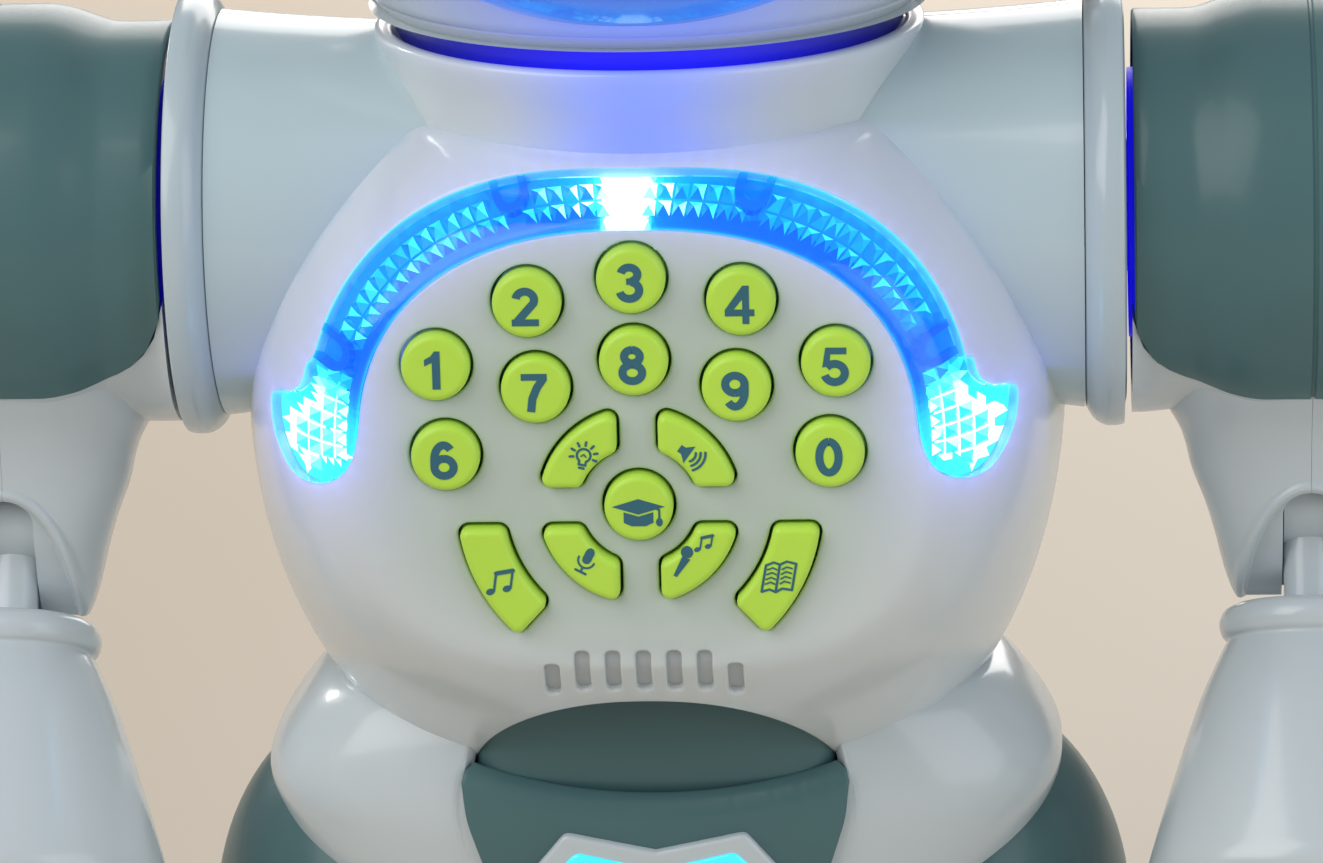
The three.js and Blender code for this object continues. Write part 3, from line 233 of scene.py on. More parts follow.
def casing_place(plan, front):
    """Points of the casing for plan points (u, v). Inside the unit circle lies the flat
    panel. From there to radius 2 the spread runs as a sine from the panel's edge to the
    widest outline, and the depth follows d (1 - spread^p)^(1/p), with its own p by angle."""
    angle = np.arctan2(plan[:, 1], plan[:, 0])
    ring = np.hypot(plan[:, 0], plan[:, 1])
    inner = keypad_radius(angle) if front else back_radius(angle)
    spread = np.sin(np.pi / 2 * np.clip(ring - 1, 0, 1))
    radius = np.where(ring < 1, ring * inner, inner + (outline_radius(angle) - inner) * spread)
    edge_power = np.where(np.sin(angle) >= 0, 1.38, 1.2)
    power = 1.8 + (edge_power - 1.8) * np.sin(angle) ** 2 if front else np.full(len(plan), 1.9)
    reach = (keypad_depth if front else back_depth) - parting
    depth = parting + reach * np.maximum(1 - spread ** power, 0) ** (1 / power)
    x = radius * np.cos(angle)
    z = eased_ledge(x, torso_middle + radius * np.sin(angle))
    return np.stack([x, -depth if front else depth, z], 1)


def casing_plan(outline, front):
    """Plan points (u, v) under points (x, z) of the front view: the inverse of
    casing_place below the ledge."""
    angle = np.arctan2(outline[:, 1] - torso_middle, outline[:, 0])
    radius = np.hypot(outline[:, 0], outline[:, 1] - torso_middle)
    inner = keypad_radius(angle) if front else back_radius(angle)
    spread = np.clip((radius - inner) / (outline_radius(angle) - inner), 0, 1)
    ring = np.where(radius < inner, radius / inner, 1 + 2 / np.pi * np.arcsin(spread))
    return ring[:, None] * compass(angle)


def surface_normals(place, plan, outwards):
    """Unit normals of a surface place(plan), from its slopes along u and v."""
    step = 1e-3
    along = place(plan + (step, 0)) - place(plan - (step, 0))
    across = place(plan + (0, step)) - place(plan - (0, step))
    normal = np.cross(along, across)
    normal = normal / np.maximum(np.linalg.norm(normal, axis=1, keepdims=True), 1e-9)
    return normal * np.sign(normal @ np.array(outwards, float))[:, None]


def inside(points, outline):
    """Which points lie inside a closed outline, by counting the edges to their right."""
    start, end = outline, np.roll(outline, -1, 0)
    x, y = points[:, :1], points[:, 1:]
    spans = (start[:, 1] > y) != (end[:, 1] > y)
    rise = np.where(end[:, 1] == start[:, 1], 1e-12, end[:, 1] - start[:, 1])
    crossing = start[:, 0] + (y - start[:, 1]) * (end[:, 0] - start[:, 0]) / rise
    return (spans & (crossing > x)).sum(1) % 2 == 1


def triangulated(loops, loose):
    """Triangles of the plane through closed loops and loose points. Returns the points,
    the triangles and, for each point, the loop that it came from (-1 for none)."""
    loops = [np.asarray(loop) for loop in loops]
    points = np.concatenate([*loops, loose])
    source = [np.full(len(loop), i) for i, loop in enumerate(loops)]
    source = np.concatenate([*source, np.full(len(loose), -1)])
    edges, start = [], 0
    for loop in loops:
        ring = np.arange(len(loop))
        edges += np.stack([start + ring, start + np.roll(ring, -1)], 1).tolist()
        start += len(loop)
    place, _, triangles, origin, _, _ = delaunay_2d_cdt(points.tolist(), edges, [], 0, 1e-5, True)
    kept = np.array([source[ids[0]] if ids else -1 for ids in origin])
    return np.array(place)[:, :2], np.array([list(t) for t in triangles if len(t) == 3]), kept


def wall_shell(outer, inner, triangles):
    """A closed wall between two like skins: the outer one, the inner one turned round, and
    a band along every edge that belongs to one triangle only. Doubled points of the outer
    skin count as one."""
    _, first, same = np.unique(np.round(outer, 3), axis=0, return_index=True, return_inverse=True)
    triangles = first[same.reshape(-1)][triangles]
    uneven = (triangles != np.roll(triangles, 1, 1)).all(1)
    triangles = triangles[uneven]
    count = len(outer)
    sides = np.concatenate([triangles[:, [0, 1]], triangles[:, [1, 2]], triangles[:, [2, 0]]])
    key = np.sort(sides, 1)
    _, first, copies = np.unique(key, axis=0, return_index=True, return_counts=True)
    rim = sides[first[copies == 1]]
    band = np.stack([rim[:, 1], rim[:, 0], rim[:, 0] + count, rim[:, 1] + count], 1)
    faces = triangles.tolist() + (triangles[:, ::-1] + count).tolist() + band.tolist()
    return np.concatenate([outer, inner]), faces


def halves(quads):
    """Two triangles for each four-sided face."""
    quads = np.array(quads)
    return np.concatenate([quads[:, [0, 1, 2]], quads[:, [0, 2, 3]]])


def joined(*surfaces):
    """Several (points, faces) surfaces as one."""
    points, faces, start = [], [], 0
    for some_points, some_faces in surfaces:
        points.append(np.asarray(some_points))
        faces += [[start + corner for corner in face] for face in some_faces]
        start += len(some_points)
    return np.concatenate(points), faces


def arc(middle, radius, start, end, steps):
    """Points on an arc, the middle plus a radius times (cos, sin), at even angles in degrees
    with both ends included."""
    return middle + radius * compass(np.radians(np.linspace(start, end, steps + 1)))


def spaced(outline, step):
    """Points at even distances along a closed outline, found between its corners by the
    length run so far."""
    closed = np.concatenate([outline, outline[:1]])
    run = np.concatenate([[0], np.cumsum(np.linalg.norm(np.diff(closed, axis=0), axis=1))])
    count = max(8, int(round(run[-1] / step)))
    at = np.linspace(0, run[-1], count, endpoint=False)
    return np.stack([np.interp(at, run, closed[:, 0]), np.interp(at, run, closed[:, 1])], 1)


def grown(outline, distance):
    """A closed outline moved outwards by a distance along its corner normals."""
    ahead, behind = np.roll(outline, -1, 0), np.roll(outline, 1, 0)
    tangent = unit(ahead - behind)
    area = np.sum(outline[:, 0] * ahead[:, 1] - ahead[:, 0] * outline[:, 1])
    return outline + np.sign(area) * distance * np.stack([tangent[:, 1], -tangent[:, 0]], 1)


def round_rectangle(x0, x1, z0, z1, corner, steps=6):
    """A closed outline of a rectangle whose corners are quarter circles."""
    return np.concatenate([
        arc((x1 - corner, z1 - corner), corner, 0, 90, steps),
        arc((x0 + corner, z1 - corner), corner, 90, 180, steps),
        arc((x0 + corner, z0 + corner), corner, 180, 270, steps),
        arc((x1 - corner, z0 + corner), corner, 270, 360, steps),
    ])


def gap_to(points, others):
    """Distance from each flat point to the nearest of some others."""
    return np.min(np.linalg.norm(points[:, None] - others[None], axis=2), axis=1)


# Middles (x, z) of the round keys. The others are pieces of rings round the middle key:
# radii, angles of the two sides, and how far each side is moved in.
digit_places = {
    "key_1": (-24.9, 161.0), "key_2": (-13.3, 169.0), "key_3": (-0.3, 171.9), "key_4": (13.3, 169.0),
    "key_5": (24.9, 161.0), "key_6": (-24.0, 149.4), "key_7": (-12.5, 158.0), "key_8": (-0.2, 161.4),
    "key_9": (12.5, 158.0), "key_0": (24.0, 149.4), "key_learn": (0.0, 142.7),
}
learn_place = np.array(digit_places["key_learn"])
ring_keys = {
    "key_sound": (7.6, 12.6, 0, 90, 2.6, 2.6), "key_light": (7.6, 12.6, 90, 180, 2.6, 2.6),
    "key_record": (7.6, 12.6, 180, 270, 2.6, 2.6), "key_sing": (7.6, 12.6, 270, 360, 2.6, 2.6),
    "key_music": (17.0, 22.8, 180, 227, 2.6, 0.0), "key_story": (17.0, 22.8, 313, 360, 0.0, 2.6),
}
key_radius = 4.3
key_corner = 1.1
key_gap = 0.35


def ring_key_outline(inner, outer, start, end, start_offset, end_offset, grow=0.0):
    """A piece of a ring round the middle key, from one side line to the other, each moved
    in by its offset, with all corners rounded."""
    corner = key_corner + grow

    def corner_middle(side, offset, radius, sign):
        """Where a circle round the middle key is an inset away from a side line: the middle
        of a corner's arc."""
        inset = offset - grow + corner
        reach = np.sqrt(radius ** 2 - inset ** 2)
        c, s = np.cos(np.radians(side)), np.sin(np.radians(side))
        return np.array([reach * c - sign * inset * s, reach * s + sign * inset * c])

    corners = [
        corner_middle(start, start_offset, outer + grow - corner, 1),
        corner_middle(end, end_offset, outer + grow - corner, -1),
        corner_middle(end, end_offset, inner - grow + corner, -1),
        corner_middle(start, start_offset, inner - grow + corner, 1),
    ]
    bearing = [np.degrees(np.arctan2(middle[1], middle[0])) % 360 for middle in corners]
    bearing = [b if b > start - 30 else b + 360 for b in bearing]
    points = np.concatenate([
        arc(corners[0], corner, start - 90, bearing[0], 6),
        arc((0, 0), outer + grow, bearing[0], bearing[1], 14)[1:-1],
        arc(corners[1], corner, bearing[1], end + 90, 6),
        arc(corners[2], corner, end + 90, bearing[2] + 180, 6),
        arc((0, 0), inner - grow, bearing[2], bearing[3], 10)[1:-1],
        arc(corners[3], corner, bearing[3] + 180, start + 270, 6),
    ])
    return points + learn_place


def key_outline(name, grow=0.0):
    """A key's outline moved outwards by a distance: a circle, or a piece of a ring."""
    if name in digit_places:
        return arc(digit_places[name], key_radius + grow, 0, 360, 48)[:-1]
    return ring_key_outline(*ring_keys[name], grow=grow)


key_names = [*digit_places, *ring_keys]

# The light arc runs along the keypad's edge and ends in two boot-shaped feet
foot_outline = np.array([
    (41.9, 159.6), (42.6, 157.2), (44.4, 155.3), (46.8, 154.3), (47.4, 152.8), (47.0, 149.7),
    (45.7, 147.0), (44.0, 145.2), (42.0, 144.7), (39.3, 145.3), (37.0, 147.0), (35.7, 149.4),
    (34.95, 152.4),
])


def smooth_through(points, steps):
    """A Catmull-Rom curve through points, as an open line."""
    padded = np.concatenate([2 * points[:1] - points[1:2], points, 2 * points[-1:] - points[-2:-1]])
    t = np.linspace(0, 1, steps, endpoint=False)[:, None, None]
    a, b, c, d = padded[:-3], padded[1:-2], padded[2:-1], padded[3:]
    square, cube = 2 * a - 5 * b + 4 * c - d, 3 * b - a - 3 * c + d
    line = 0.5 * (2 * b + (c - a) * t + square * t ** 2 + cube * t ** 3)
    return np.concatenate([line.transpose(1, 0, 2).reshape(-1, points.shape[1]), points[-1:]])


def round_torso(angle, radius):
    """Points (x, z) of the front view at angles and distances from the torso's middle."""
    return np.stack([radius * np.cos(angle), torso_middle + radius * np.sin(angle)], -1)


def arc_edge(half_width, rise, low, high):
    """Points of one edge of the light arc between two angles in degrees: a superellipse of
    power 2.4."""
    angle = np.radians(np.linspace(low, high, 120))
    return round_torso(angle, super_radius(angle, half_width, rise, 2.4))


right_foot = smooth_through(foot_outline, 6)
left_foot = right_foot * (-1, 1)
light_outline = spaced(np.concatenate([
    arc_edge(42.0, 35.8, 15, 165)[:-1],
    left_foot,
    arc_edge(keypad_half, keypad_rise, 174, 6)[1:-1],
    right_foot[::-1],
]), 0.9)

slot_count, slot_pitch, slot_width, slot_top, slot_length = 7, 3.86, 1.9, 123.5, 6.0


def slot_outline(index):
    """A speaker slot: an upright bar with round corners. The outer two are shorter."""
    x = (index - slot_count // 2) * slot_pitch
    short = index in (0, slot_count - 1)
    top = slot_top - (1.7 if short else 0)
    bottom = slot_top - slot_length - (0.6 if short else 0)
    return round_rectangle(x - slot_width / 2, x + slot_width / 2, bottom, top, 0.6, 4)


arch_half, arch_rise, arch_foot = 24.4, 20.4, 95.0
angle = np.linspace(0, 2 * np.pi, 120, endpoint=False)
waist_arch = super_radius(angle, arch_half, arch_rise, 2.3)[:, None] * compass(angle) + (0, arch_foot)
edge_roll = 0.4
roll_steps = (0.0, 0.08, 0.2, 0.4)


def roll_drop(growth):
    """How deep a rolled edge has sunk at a distance from the opening: a quarter circle."""
    return edge_roll - np.sqrt(edge_roll ** 2 - (edge_roll - growth) ** 2)


def casing_half(front, openings, wide_rings=()):
    """One half of the torso: a wall over the plan disc of radius 2, less its openings,
    whose edges are rolled. wide_rings are further outlines for the mesh to follow."""
    def place(plan):
        """The casing over plan points."""
        return casing_place(plan, front)

    loops, drops = [], []
    for outline in openings:
        for growth in roll_steps:
            loops.append(casing_plan(grown(outline, growth), front))
            drops.append(roll_drop(growth))
    for outline in wide_rings:
        loops.append(casing_plan(outline, front))
        drops.append(0.0)
    seat = np.concatenate([spaced(loop, 0.012) for loop in loops])
    loops.append(2 * compass(np.linspace(0, 2 * np.pi, 200, endpoint=False)))
    drops.append(0.0)
    rings = np.concatenate([np.linspace(0.05, 0.95, 10), np.linspace(1.0, 1.965, 30)])
    loose = np.concatenate([
        ring * compass(np.linspace(0, 2 * np.pi, 60 if ring < 1 else 180, endpoint=False) + ring)
        for ring in rings
    ])
    loose = loose[gap_to(loose, seat[::2]) > 0.018]
    plan, triangles, source = triangulated(loops, loose)
    middles = plan[triangles].mean(1)
    keep = np.hypot(middles[:, 0], middles[:, 1]) < 2
    for outline in openings:
        keep &= ~inside(middles, casing_plan(outline, front))
    drop = np.where(source >= 0, np.array(drops)[source], 0.0)
    outer = place(plan)
    normal = surface_normals(place, plan, (0, -1 if front else 1, 0))
    at_parting = np.hypot(plan[:, 0], plan[:, 1]) > 1.97
    normal[at_parting] = unit(outer[at_parting] * (1, 0, 1) - (0, 0, torso_middle))
    inner = outer - normal * wall
    inner[:, 1] = np.minimum(inner[:, 1], -parting) if front else np.maximum(inner[:, 1], parting)
    return wall_shell(outer - normal * drop[:, None], inner, triangles[keep])


def sleeve_radius(x):
    """Radius of the shoulder sleeve at x: it swells with x cubed, by 2.1 mm at its ends."""
    return 24.4 + 2.1 * (np.abs(x) / 55.7) ** 3


def half_sleeve(front):
    """Half of the shoulder sleeve: a half tube along X at each side of the torso, with a
    wall."""
    a = np.radians(np.linspace(-90, 90, 61))[None, :]
    surfaces = []
    for start, end in ((-55.85, -20), (20, 55.85)):
        along = np.linspace(start, end, 14)[:, None]
        skins = []
        for inset in (0.0, wall):
            radius = sleeve_radius(along) - inset
            reach = np.maximum(radius * np.cos(a), 0) + parting
            z = shoulder_height + radius * np.sin(a)
            skins.append(np.stack([along + 0 * a, -reach if front else reach, z], -1).reshape(-1, 3))
        surfaces.append(wall_shell(*skins, halves(surface_faces(14, 61, False))))
    return joined(*surfaces)


def finish_piece(item, material, body, *nodes, slot=None, sharp=40):
    """Smooth shading with crisp edges, the finish, the body that carries the piece, the
    record's slot of its finish, which is not used, and the nodes that it stands for."""
    if sharp:
        item.data.shade_smooth()
        item.data.set_sharp_from_angle(angle=np.radians(sharp))
    item.data.materials.append(material)
    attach(item, body)
    if nodes:
        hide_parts(*nodes)


def noise(nodes, links, scale):
    """Noise of a scale on the piece's own coordinates."""
    place = nodes.new("ShaderNodeTexCoord")
    cloud = nodes.new("ShaderNodeTexNoise")
    cloud.inputs["Scale"].default_value = scale
    links.new(place.outputs["Object"], cloud.inputs["Vector"])
    return cloud


def ranged(nodes, links, source, low, high, target):
    """Carries a value from a socket to another, its 0 made low and its 1 made high."""
    spread = nodes.new("ShaderNodeMapRange")
    spread.inputs["To Min"].default_value = low
    spread.inputs["To Max"].default_value = high
    links.new(source, spread.inputs["Value"])
    links.new(spread.outputs["Result"], target)
    return spread


def attribute(nodes, name):
    """A node that reads an attribute of the mesh."""
    reader = nodes.new("ShaderNodeAttribute")
    reader.attribute_name = name
    return reader


def moulded_plastic(name, colour, roughness, tone=0.04, grain=0.02, coat=0.0):
    """Injection-moulded plastic: a faint drift of tone, roughness that wanders a little and
    a very fine grain in the surface."""
    material, nodes, links, shader = new_material(name)
    drift = noise(nodes, links, 22)
    drift.inputs["Detail"].default_value = 3
    tint = nodes.new("ShaderNodeValToRGB")
    tint.color_ramp.elements[0].position = 0.35
    tint.color_ramp.elements[1].position = 0.65
    tint.color_ramp.elements[0].color = (*[c * (1 - tone) for c in colour], 1)
    tint.color_ramp.elements[1].color = (*[min(c * (1 + tone), 1) for c in colour], 1)
    links.new(drift.outputs["Fac"], tint.inputs["Fac"])
    links.new(tint.outputs["Color"], shader.inputs["Base Color"])
    fine = noise(nodes, links, 900)
    ranged(nodes, links, fine.outputs["Fac"], roughness * 0.88, roughness * 1.15, shader.inputs["Roughness"])
    bump = nodes.new("ShaderNodeBump")
    bump.inputs["Strength"].default_value = grain
    bump.inputs["Distance"].default_value = 0.0002
    links.new(fine.outputs["Fac"], bump.inputs["Height"])
    links.new(bump.outputs["Normal"], shader.inputs["Normal"])
    shader.inputs["Coat Weight"].default_value = coat
    shader.inputs["Coat Roughness"].default_value = 0.08
    return material


def add_glow(material, colour):
    """Light that soaks through the plastic beside a lamp: emission by the 'lit' attribute."""
    nodes, links, shader = tree_of(material)
    shader.inputs["Emission Color"].default_value = (*colour, 1)
    links.new(attribute(nodes, "lit").outputs["Fac"], shader.inputs["Emission Strength"])


def set_lit(item, values):
    """Stores how strongly each point is lit."""
    item.data.attributes.new("lit", "FLOAT", "POINT").data.foreach_set("value", values)


def points_of(item):
    """The points of a piece, in millimetres."""
    place = np.empty(len(item.data.vertices) * 3)
    item.data.vertices.foreach_get("co", place)
    return place.reshape(-1, 3) / mm


def add_painted_tint(material):
    """A 'tint' attribute multiplies the colour: painted shade and painted light that neighbours throw."""
    nodes, links, shader = tree_of(material)
    product = nodes.new("ShaderNodeMix")
    product.data_type = "RGBA"
    product.blend_type = "MULTIPLY"
    product.inputs[0].default_value = 1.0
    links.new(shader.inputs["Base Color"].links[0].from_socket, product.inputs[6])
    links.new(attribute(nodes, "tint").outputs["Color"], product.inputs[7])
    links.new(product.outputs[2], shader.inputs["Base Color"])


def set_painted_tint(item, colours):
    """Stores the painted light and shade of each point as a colour."""
    count = len(item.data.vertices)
    values = np.column_stack([np.broadcast_to(colours, (count, 3)), np.ones(count)])
    item.data.attributes.new("tint", "FLOAT_COLOR", "POINT").data.foreach_set("color", values.ravel())


white = (0.60, 0.66, 0.69)
white_plastic = moulded_plastic("white_plastic", white, 0.24, tone=0.012, grain=0.0, coat=0.35)
lit_white = moulded_plastic("lit_white_plastic", white, 0.24, tone=0.012, grain=0.0, coat=0.35)
add_painted_tint(lit_white)
add_glow(lit_white, (0.14, 0.18, 1.0))

openings = [key_outline(name, key_gap) for name in key_names]
openings += [spaced(slot_outline(i), 0.4) for i in range(slot_count)]
openings += [light_outline, waist_arch]
light_halo = [grown(light_outline, growth) for growth in (1.2, 2.4)]
front_casing = hold_mesh("front_casing", *joined(casing_half(True, openings, light_halo), half_sleeve(True)))
finish_piece(front_casing, lit_white, "body", "torso_front_shell", slot="white_casing", sharp=32)

# The white is lit blue along the arc, most round its feet, and a little out to some 8 mm
place = points_of(front_casing)
foot_middle, front_from = (41.5, 150.5), 20
off_arc = gap_to(place[:, [0, 2]], light_outline[::3])
off_feet = np.hypot(np.abs(place[:, 0]) - foot_middle[0], place[:, 2] - foot_middle[1])
halo = (0.24 + 0.3 * np.exp(-(off_feet / 12) ** 2)) * np.exp(-off_arc / 1.5)
halo += 0.09 * np.exp(-(off_arc / 8) ** 2)
halo += 0.12 * np.exp(-(off_feet / 11) ** 2)
set_lit(front_casing, np.where(place[:, 1] < -front_from, halo, 0))

# Painted light and shade: the front is painted a little paler than the sides, the plastic
# between the keys darker and greener for their shade and green light, and the sleeve cooler
# and darker for its shade
front_painted_light, key_painted_shade, sleeve_painted_shade = np.array([(1.10, 1.07, 1.05), (0.79, 0.86, 0.77), (0.90, 1.0, 1.02)])
in_front = np.clip(-place[:, 1:2] / front_from, 0, 1)
from_keys = np.hypot(place[:, :1] / 34, (place[:, 2:] - 150) / 28)
painted_key_shade = in_front * np.exp(-from_keys ** 6)
off_axis = np.hypot(place[:, 1:2], place[:, 2:] - shoulder_height)
on_sleeve = np.abs(off_axis - sleeve_radius(place[:, :1])) < 0.3
colours = (1 + in_front * (front_painted_light - 1)) * (1 - painted_key_shade * (1 - key_painted_shade))
set_painted_tint(front_casing, np.where(on_sleeve, sleeve_painted_shade, colours))

door_half_width, door_half_height, door_middle = 23.0, 20.0, 146.0
door_low, door_high = door_middle - door_half_height, door_middle + door_half_height
door_outline = spaced(round_rectangle(-door_half_width, door_half_width, door_low, door_high, 4.0), 1.0)
switch_middle = 171.0
switch_outline = spaced(round_rectangle(-5.8, 5.8, switch_middle - 1.8, switch_middle + 1.8, 0.4), 0.4)
rear_wall = casing_half(False, [door_outline, switch_outline])
rear_casing = hold_mesh("rear_casing", *joined(rear_wall, half_sleeve(False)))
finish_piece(rear_casing, white_plastic, "body", "torso_rear_shell", slot="white_casing", sharp=32)

# ---- Neck collar -----------------------------------------------------------------
# The raised white collar that the head turns in, one moulding flared to a rounded lip. A
# dark blue ring inside it glows with painted light, most at the front, and painted blue
# light soaks into the collar's front.


def lathe(profile, axis, middle, sides=128):
    """A closed surface of revolution: points (radius, along the axis) of a closed profile
    are swept round the axis through a middle."""
    profile = np.asarray(profile, float)
    a = np.linspace(0, 2 * np.pi, sides, endpoint=False)[None, :]
    radius, along = profile[:, :1], profile[:, 1:] + 0 * a
    first, second = radius * np.cos(a), radius * np.sin(a)
    order = {"x": (along, first, second), "y": (first, along, second), "z": (first, second, along)}[axis]
    points = np.stack(order, -1) + np.asarray(middle, float)
    rows = len(profile)
    points = np.concatenate([points, points[:1]])
    return points.reshape(-1, 3), surface_faces(rows + 1, sides, True)


def bent(corners, radius, steps=5):
    """An open line whose inner corners are rounded by parabolic arcs that start at most a
    radius before each corner."""
    corners = np.asarray(corners, float)
    line = [corners[:1]]
    t = np.linspace(0, 1, steps + 1)[:, None]
    for before, corner, after in zip(corners[:-2], corners[1:-1], corners[2:]):
        one, two = before - corner, after - corner
        reach_one = min(radius, 0.45 * np.linalg.norm(one)) / np.linalg.norm(one)
        reach_two = min(radius, 0.45 * np.linalg.norm(two)) / np.linalg.norm(two)
        start, end = corner + one * reach_one, corner + two * reach_two
        line.append((1 - t) ** 2 * start + 2 * t * (1 - t) * corner + t ** 2 * end)
    return np.concatenate([*line, corners[-1:]])


def bearing_of(place):
    """How far points lie round from the front, in degrees, towards the robot's left."""
    return np.degrees(np.arctan2(place[:, 0], -place[:, 1]))


collar_profile = np.concatenate([
    bent([
        (34.9, 182.4), (33.4, 184.6), (34.2, 190.0), (35.8, 194.9), (34.9, 195.5), (33.4, 195.4),
        (28.0, 187.0),
    ], 1.6),
    [(28.0, 182.4)],
])
neck_collar = hold_mesh("collar", *lathe(collar_profile, "z", (0, 0, 0), 160))
finish_piece(neck_collar, lit_white, "body", "neck_collar", slot="white_casing", sharp=50)
place = points_of(neck_collar)
by_light = np.exp(-(bearing_of(place) / 20) ** 2)
climb = np.clip((place[:, 2] - 183.6) / 12, 0, 1)
set_lit(neck_collar, 0.5 * by_light + 0.2 * climb ** 4 * np.exp(-(bearing_of(place) / 50) ** 2))
# Painted shade and light: the collar is a little paler all round, darker and bluer at its front
set_painted_tint(neck_collar, 1.08 - by_light[:, None] * np.array([(0.63, 0.52, 0.08)]))

deep_blue = moulded_plastic("deep_blue_light", (0.02, 0.02, 0.10), 0.4, tone=0.03)
add_glow(deep_blue, (0.004, 0.002, 0.85))
light_profile = [(30.6, 191.5), (32.9, 195.1), (32.9, 197.9), (31.9, 197.9), (31.9, 195.1), (29.9, 191.5)]
neck_light = hold_mesh("neck_light", *lathe(light_profile, "z", (0, 0, 0), 160))
finish_piece(neck_light, deep_blue, "body", slot="blue_lens", sharp=50)
# Painted light: the ring glows most at the front and fades round the sides
set_lit(neck_light, 1.1 * np.exp(-(bearing_of(points_of(neck_light)) / 42) ** 2))

# ---- Shoulder rings --------------------------------------------------------------
# Two separate white rings pressed onto the ends of the shoulder sleeve, each turned with
# a rounded rim and a groove beside it. The arms turn in their hubs.
# The rings' white is painted darker and bluer than the casing's: painted shade
shaded_rim_white = moulded_plastic(
    "shade_white_plastic", (0.51, 0.60, 0.65), 0.24, tone=0.012, grain=0.0, coat=0.35,
)
rim_profile = bent([
    (9.3, 61.2), (25.8, 61.2), (27.6, 60.2), (28.7, 61.2), (29.0, 60.0), (29.0, 58.4), (28.2, 57.0),
    (26.9, 56.2), (26.3, 55.9), (9.3, 55.9),
], 0.7)
both_sides = (("left", 1), ("right", -1))
for name, side in both_sides:
    rim_surface = lathe(rim_profile * (1, side), "x", (0, 0, shoulder_height), 144)
    rim = hold_mesh(f"shoulder_rim_{name}", *rim_surface)
    finish_piece(rim, shaded_rim_white, "body", f"shoulder_ring_{name}", slot="white_casing", sharp=50)

# ---- Light arc -------------------------------------------------------------------
# A clear blue moulding that curves along the keypad's edge, proud of the casing and
# rolled at its edge, over a diffuser of small pyramids. Three lamps shine through it.


def lofted(loops):
    """A closed surface through loops of equally many points, ended by flat faces."""
    loops = [np.asarray(loop) for loop in loops]
    count = len(loops[0])
    faces = surface_faces(len(loops), count, True)
    last = (len(loops) - 1) * count
    return np.concatenate(loops), faces + [list(range(count))[::-1], list(range(last, last + count))]


def on_casing(outline):
    """Points of the front casing over points (x, z)."""
    return casing_place(casing_plan(outline, True), True)


def inlay(outline, place, lift, thickness, edge, spacing):
    """A closed piece that fills an outline of the front view and follows a surface
    place(x, z) at a lift, with a rolled edge. Its back lies at a thickness below."""
    steps = np.array([0.0, 0.15, 0.4, 0.7, 1.0]) * edge
    loops = [grown(outline, -step) for step in steps]
    low, high = outline.min(0), outline.max(0)
    x, z = np.meshgrid(np.arange(low[0], high[0], spacing), np.arange(low[1], high[1], spacing))
    loose = np.stack([x.ravel(), z.ravel()], 1)
    loose = loose[inside(loose, grown(outline, -edge - 0.3 * spacing))]
    points, triangles, source = triangulated(loops, loose)
    triangles = triangles[inside(points[triangles].mean(1), loops[0])]
    sunk = (edge - np.sqrt(np.maximum(edge ** 2 - (edge - steps) ** 2, 0)))[source]
    drop = np.where(source >= 0, sunk, 0.0)
    normal = surface_normals(place, points, (0, -1, 0))
    outer = place(points) + normal * (lift - drop)[:, None]
    return wall_shell(outer, place(points) - normal * thickness, triangles)


arc_cover = hold_mesh("light_arc_cover", *inlay(grown(light_outline, -0.12), on_casing, 0.45, 0.15, 0.5, 1.3))
clear_blue, nodes, links, shader = new_material("clear_blue_plastic")
shader.inputs["Base Color"].default_value = (0.50, 0.90, 1.0, 1)
shader.inputs["Transmission Weight"].default_value = 1.0
shader.inputs["IOR"].default_value = 1.06
shader.inputs["Coat Weight"].default_value = 0.5
shader.inputs["Coat Roughness"].default_value = 0.03
ranged(nodes, links, noise(nodes, links, 140).outputs["Fac"], 0.0, 0.03, shader.inputs["Roughness"])
add_glow(clear_blue, (0.0, 0.42, 1.0))
finish_piece(arc_cover, clear_blue, "body", "chest_light_lens", slot="blue_lens", sharp=50)
to_edge = gap_to(points_of(arc_cover)[:, [0, 2]], spaced(light_outline, 0.3))
set_lit(arc_cover, 0.75 * np.exp(-(to_edge / 0.32) ** 2))

# Under the cover: the lamps at the top and in the feet, the posts of four screws, and a
# diffuser with a bare strip along the keypad and pyramids on the rest of its bed
lamp_places = np.array([(-0.9, 181.4), (-41.2, 150.6), (41.2, 150.6)])
screw_posts = np.array([(-15.6, 182.1), (14.9, 182.1), (-38.2, 162.0), (37.4, 162.0)])
pyramid_pitch, pyramid_rows = 1.95, 7
strip_width = 2.1
bed_depth, bed_thickness, tip_depth = 1.35, 0.6, 0.55


def row_of(points):
    """How far points (x, z) of the front view lie outside the keypad's edge."""
    bearing = np.arctan2(points[:, 1] - torso_middle, points[:, 0])
    return np.hypot(points[:, 0], points[:, 1] - torso_middle) - keypad_arch(bearing)


def arc_net(angle, row):
    """Points at angles round the torso's middle, a row's distance outside the keypad."""
    return round_torso(angle, keypad_arch(angle, row))


def on_bed(points, depth):
    """Points (x, z) of the front view, a depth below the casing's surface."""
    return on_casing(points) - surface_normals(on_casing, points, (0, -1, 0)) * depth


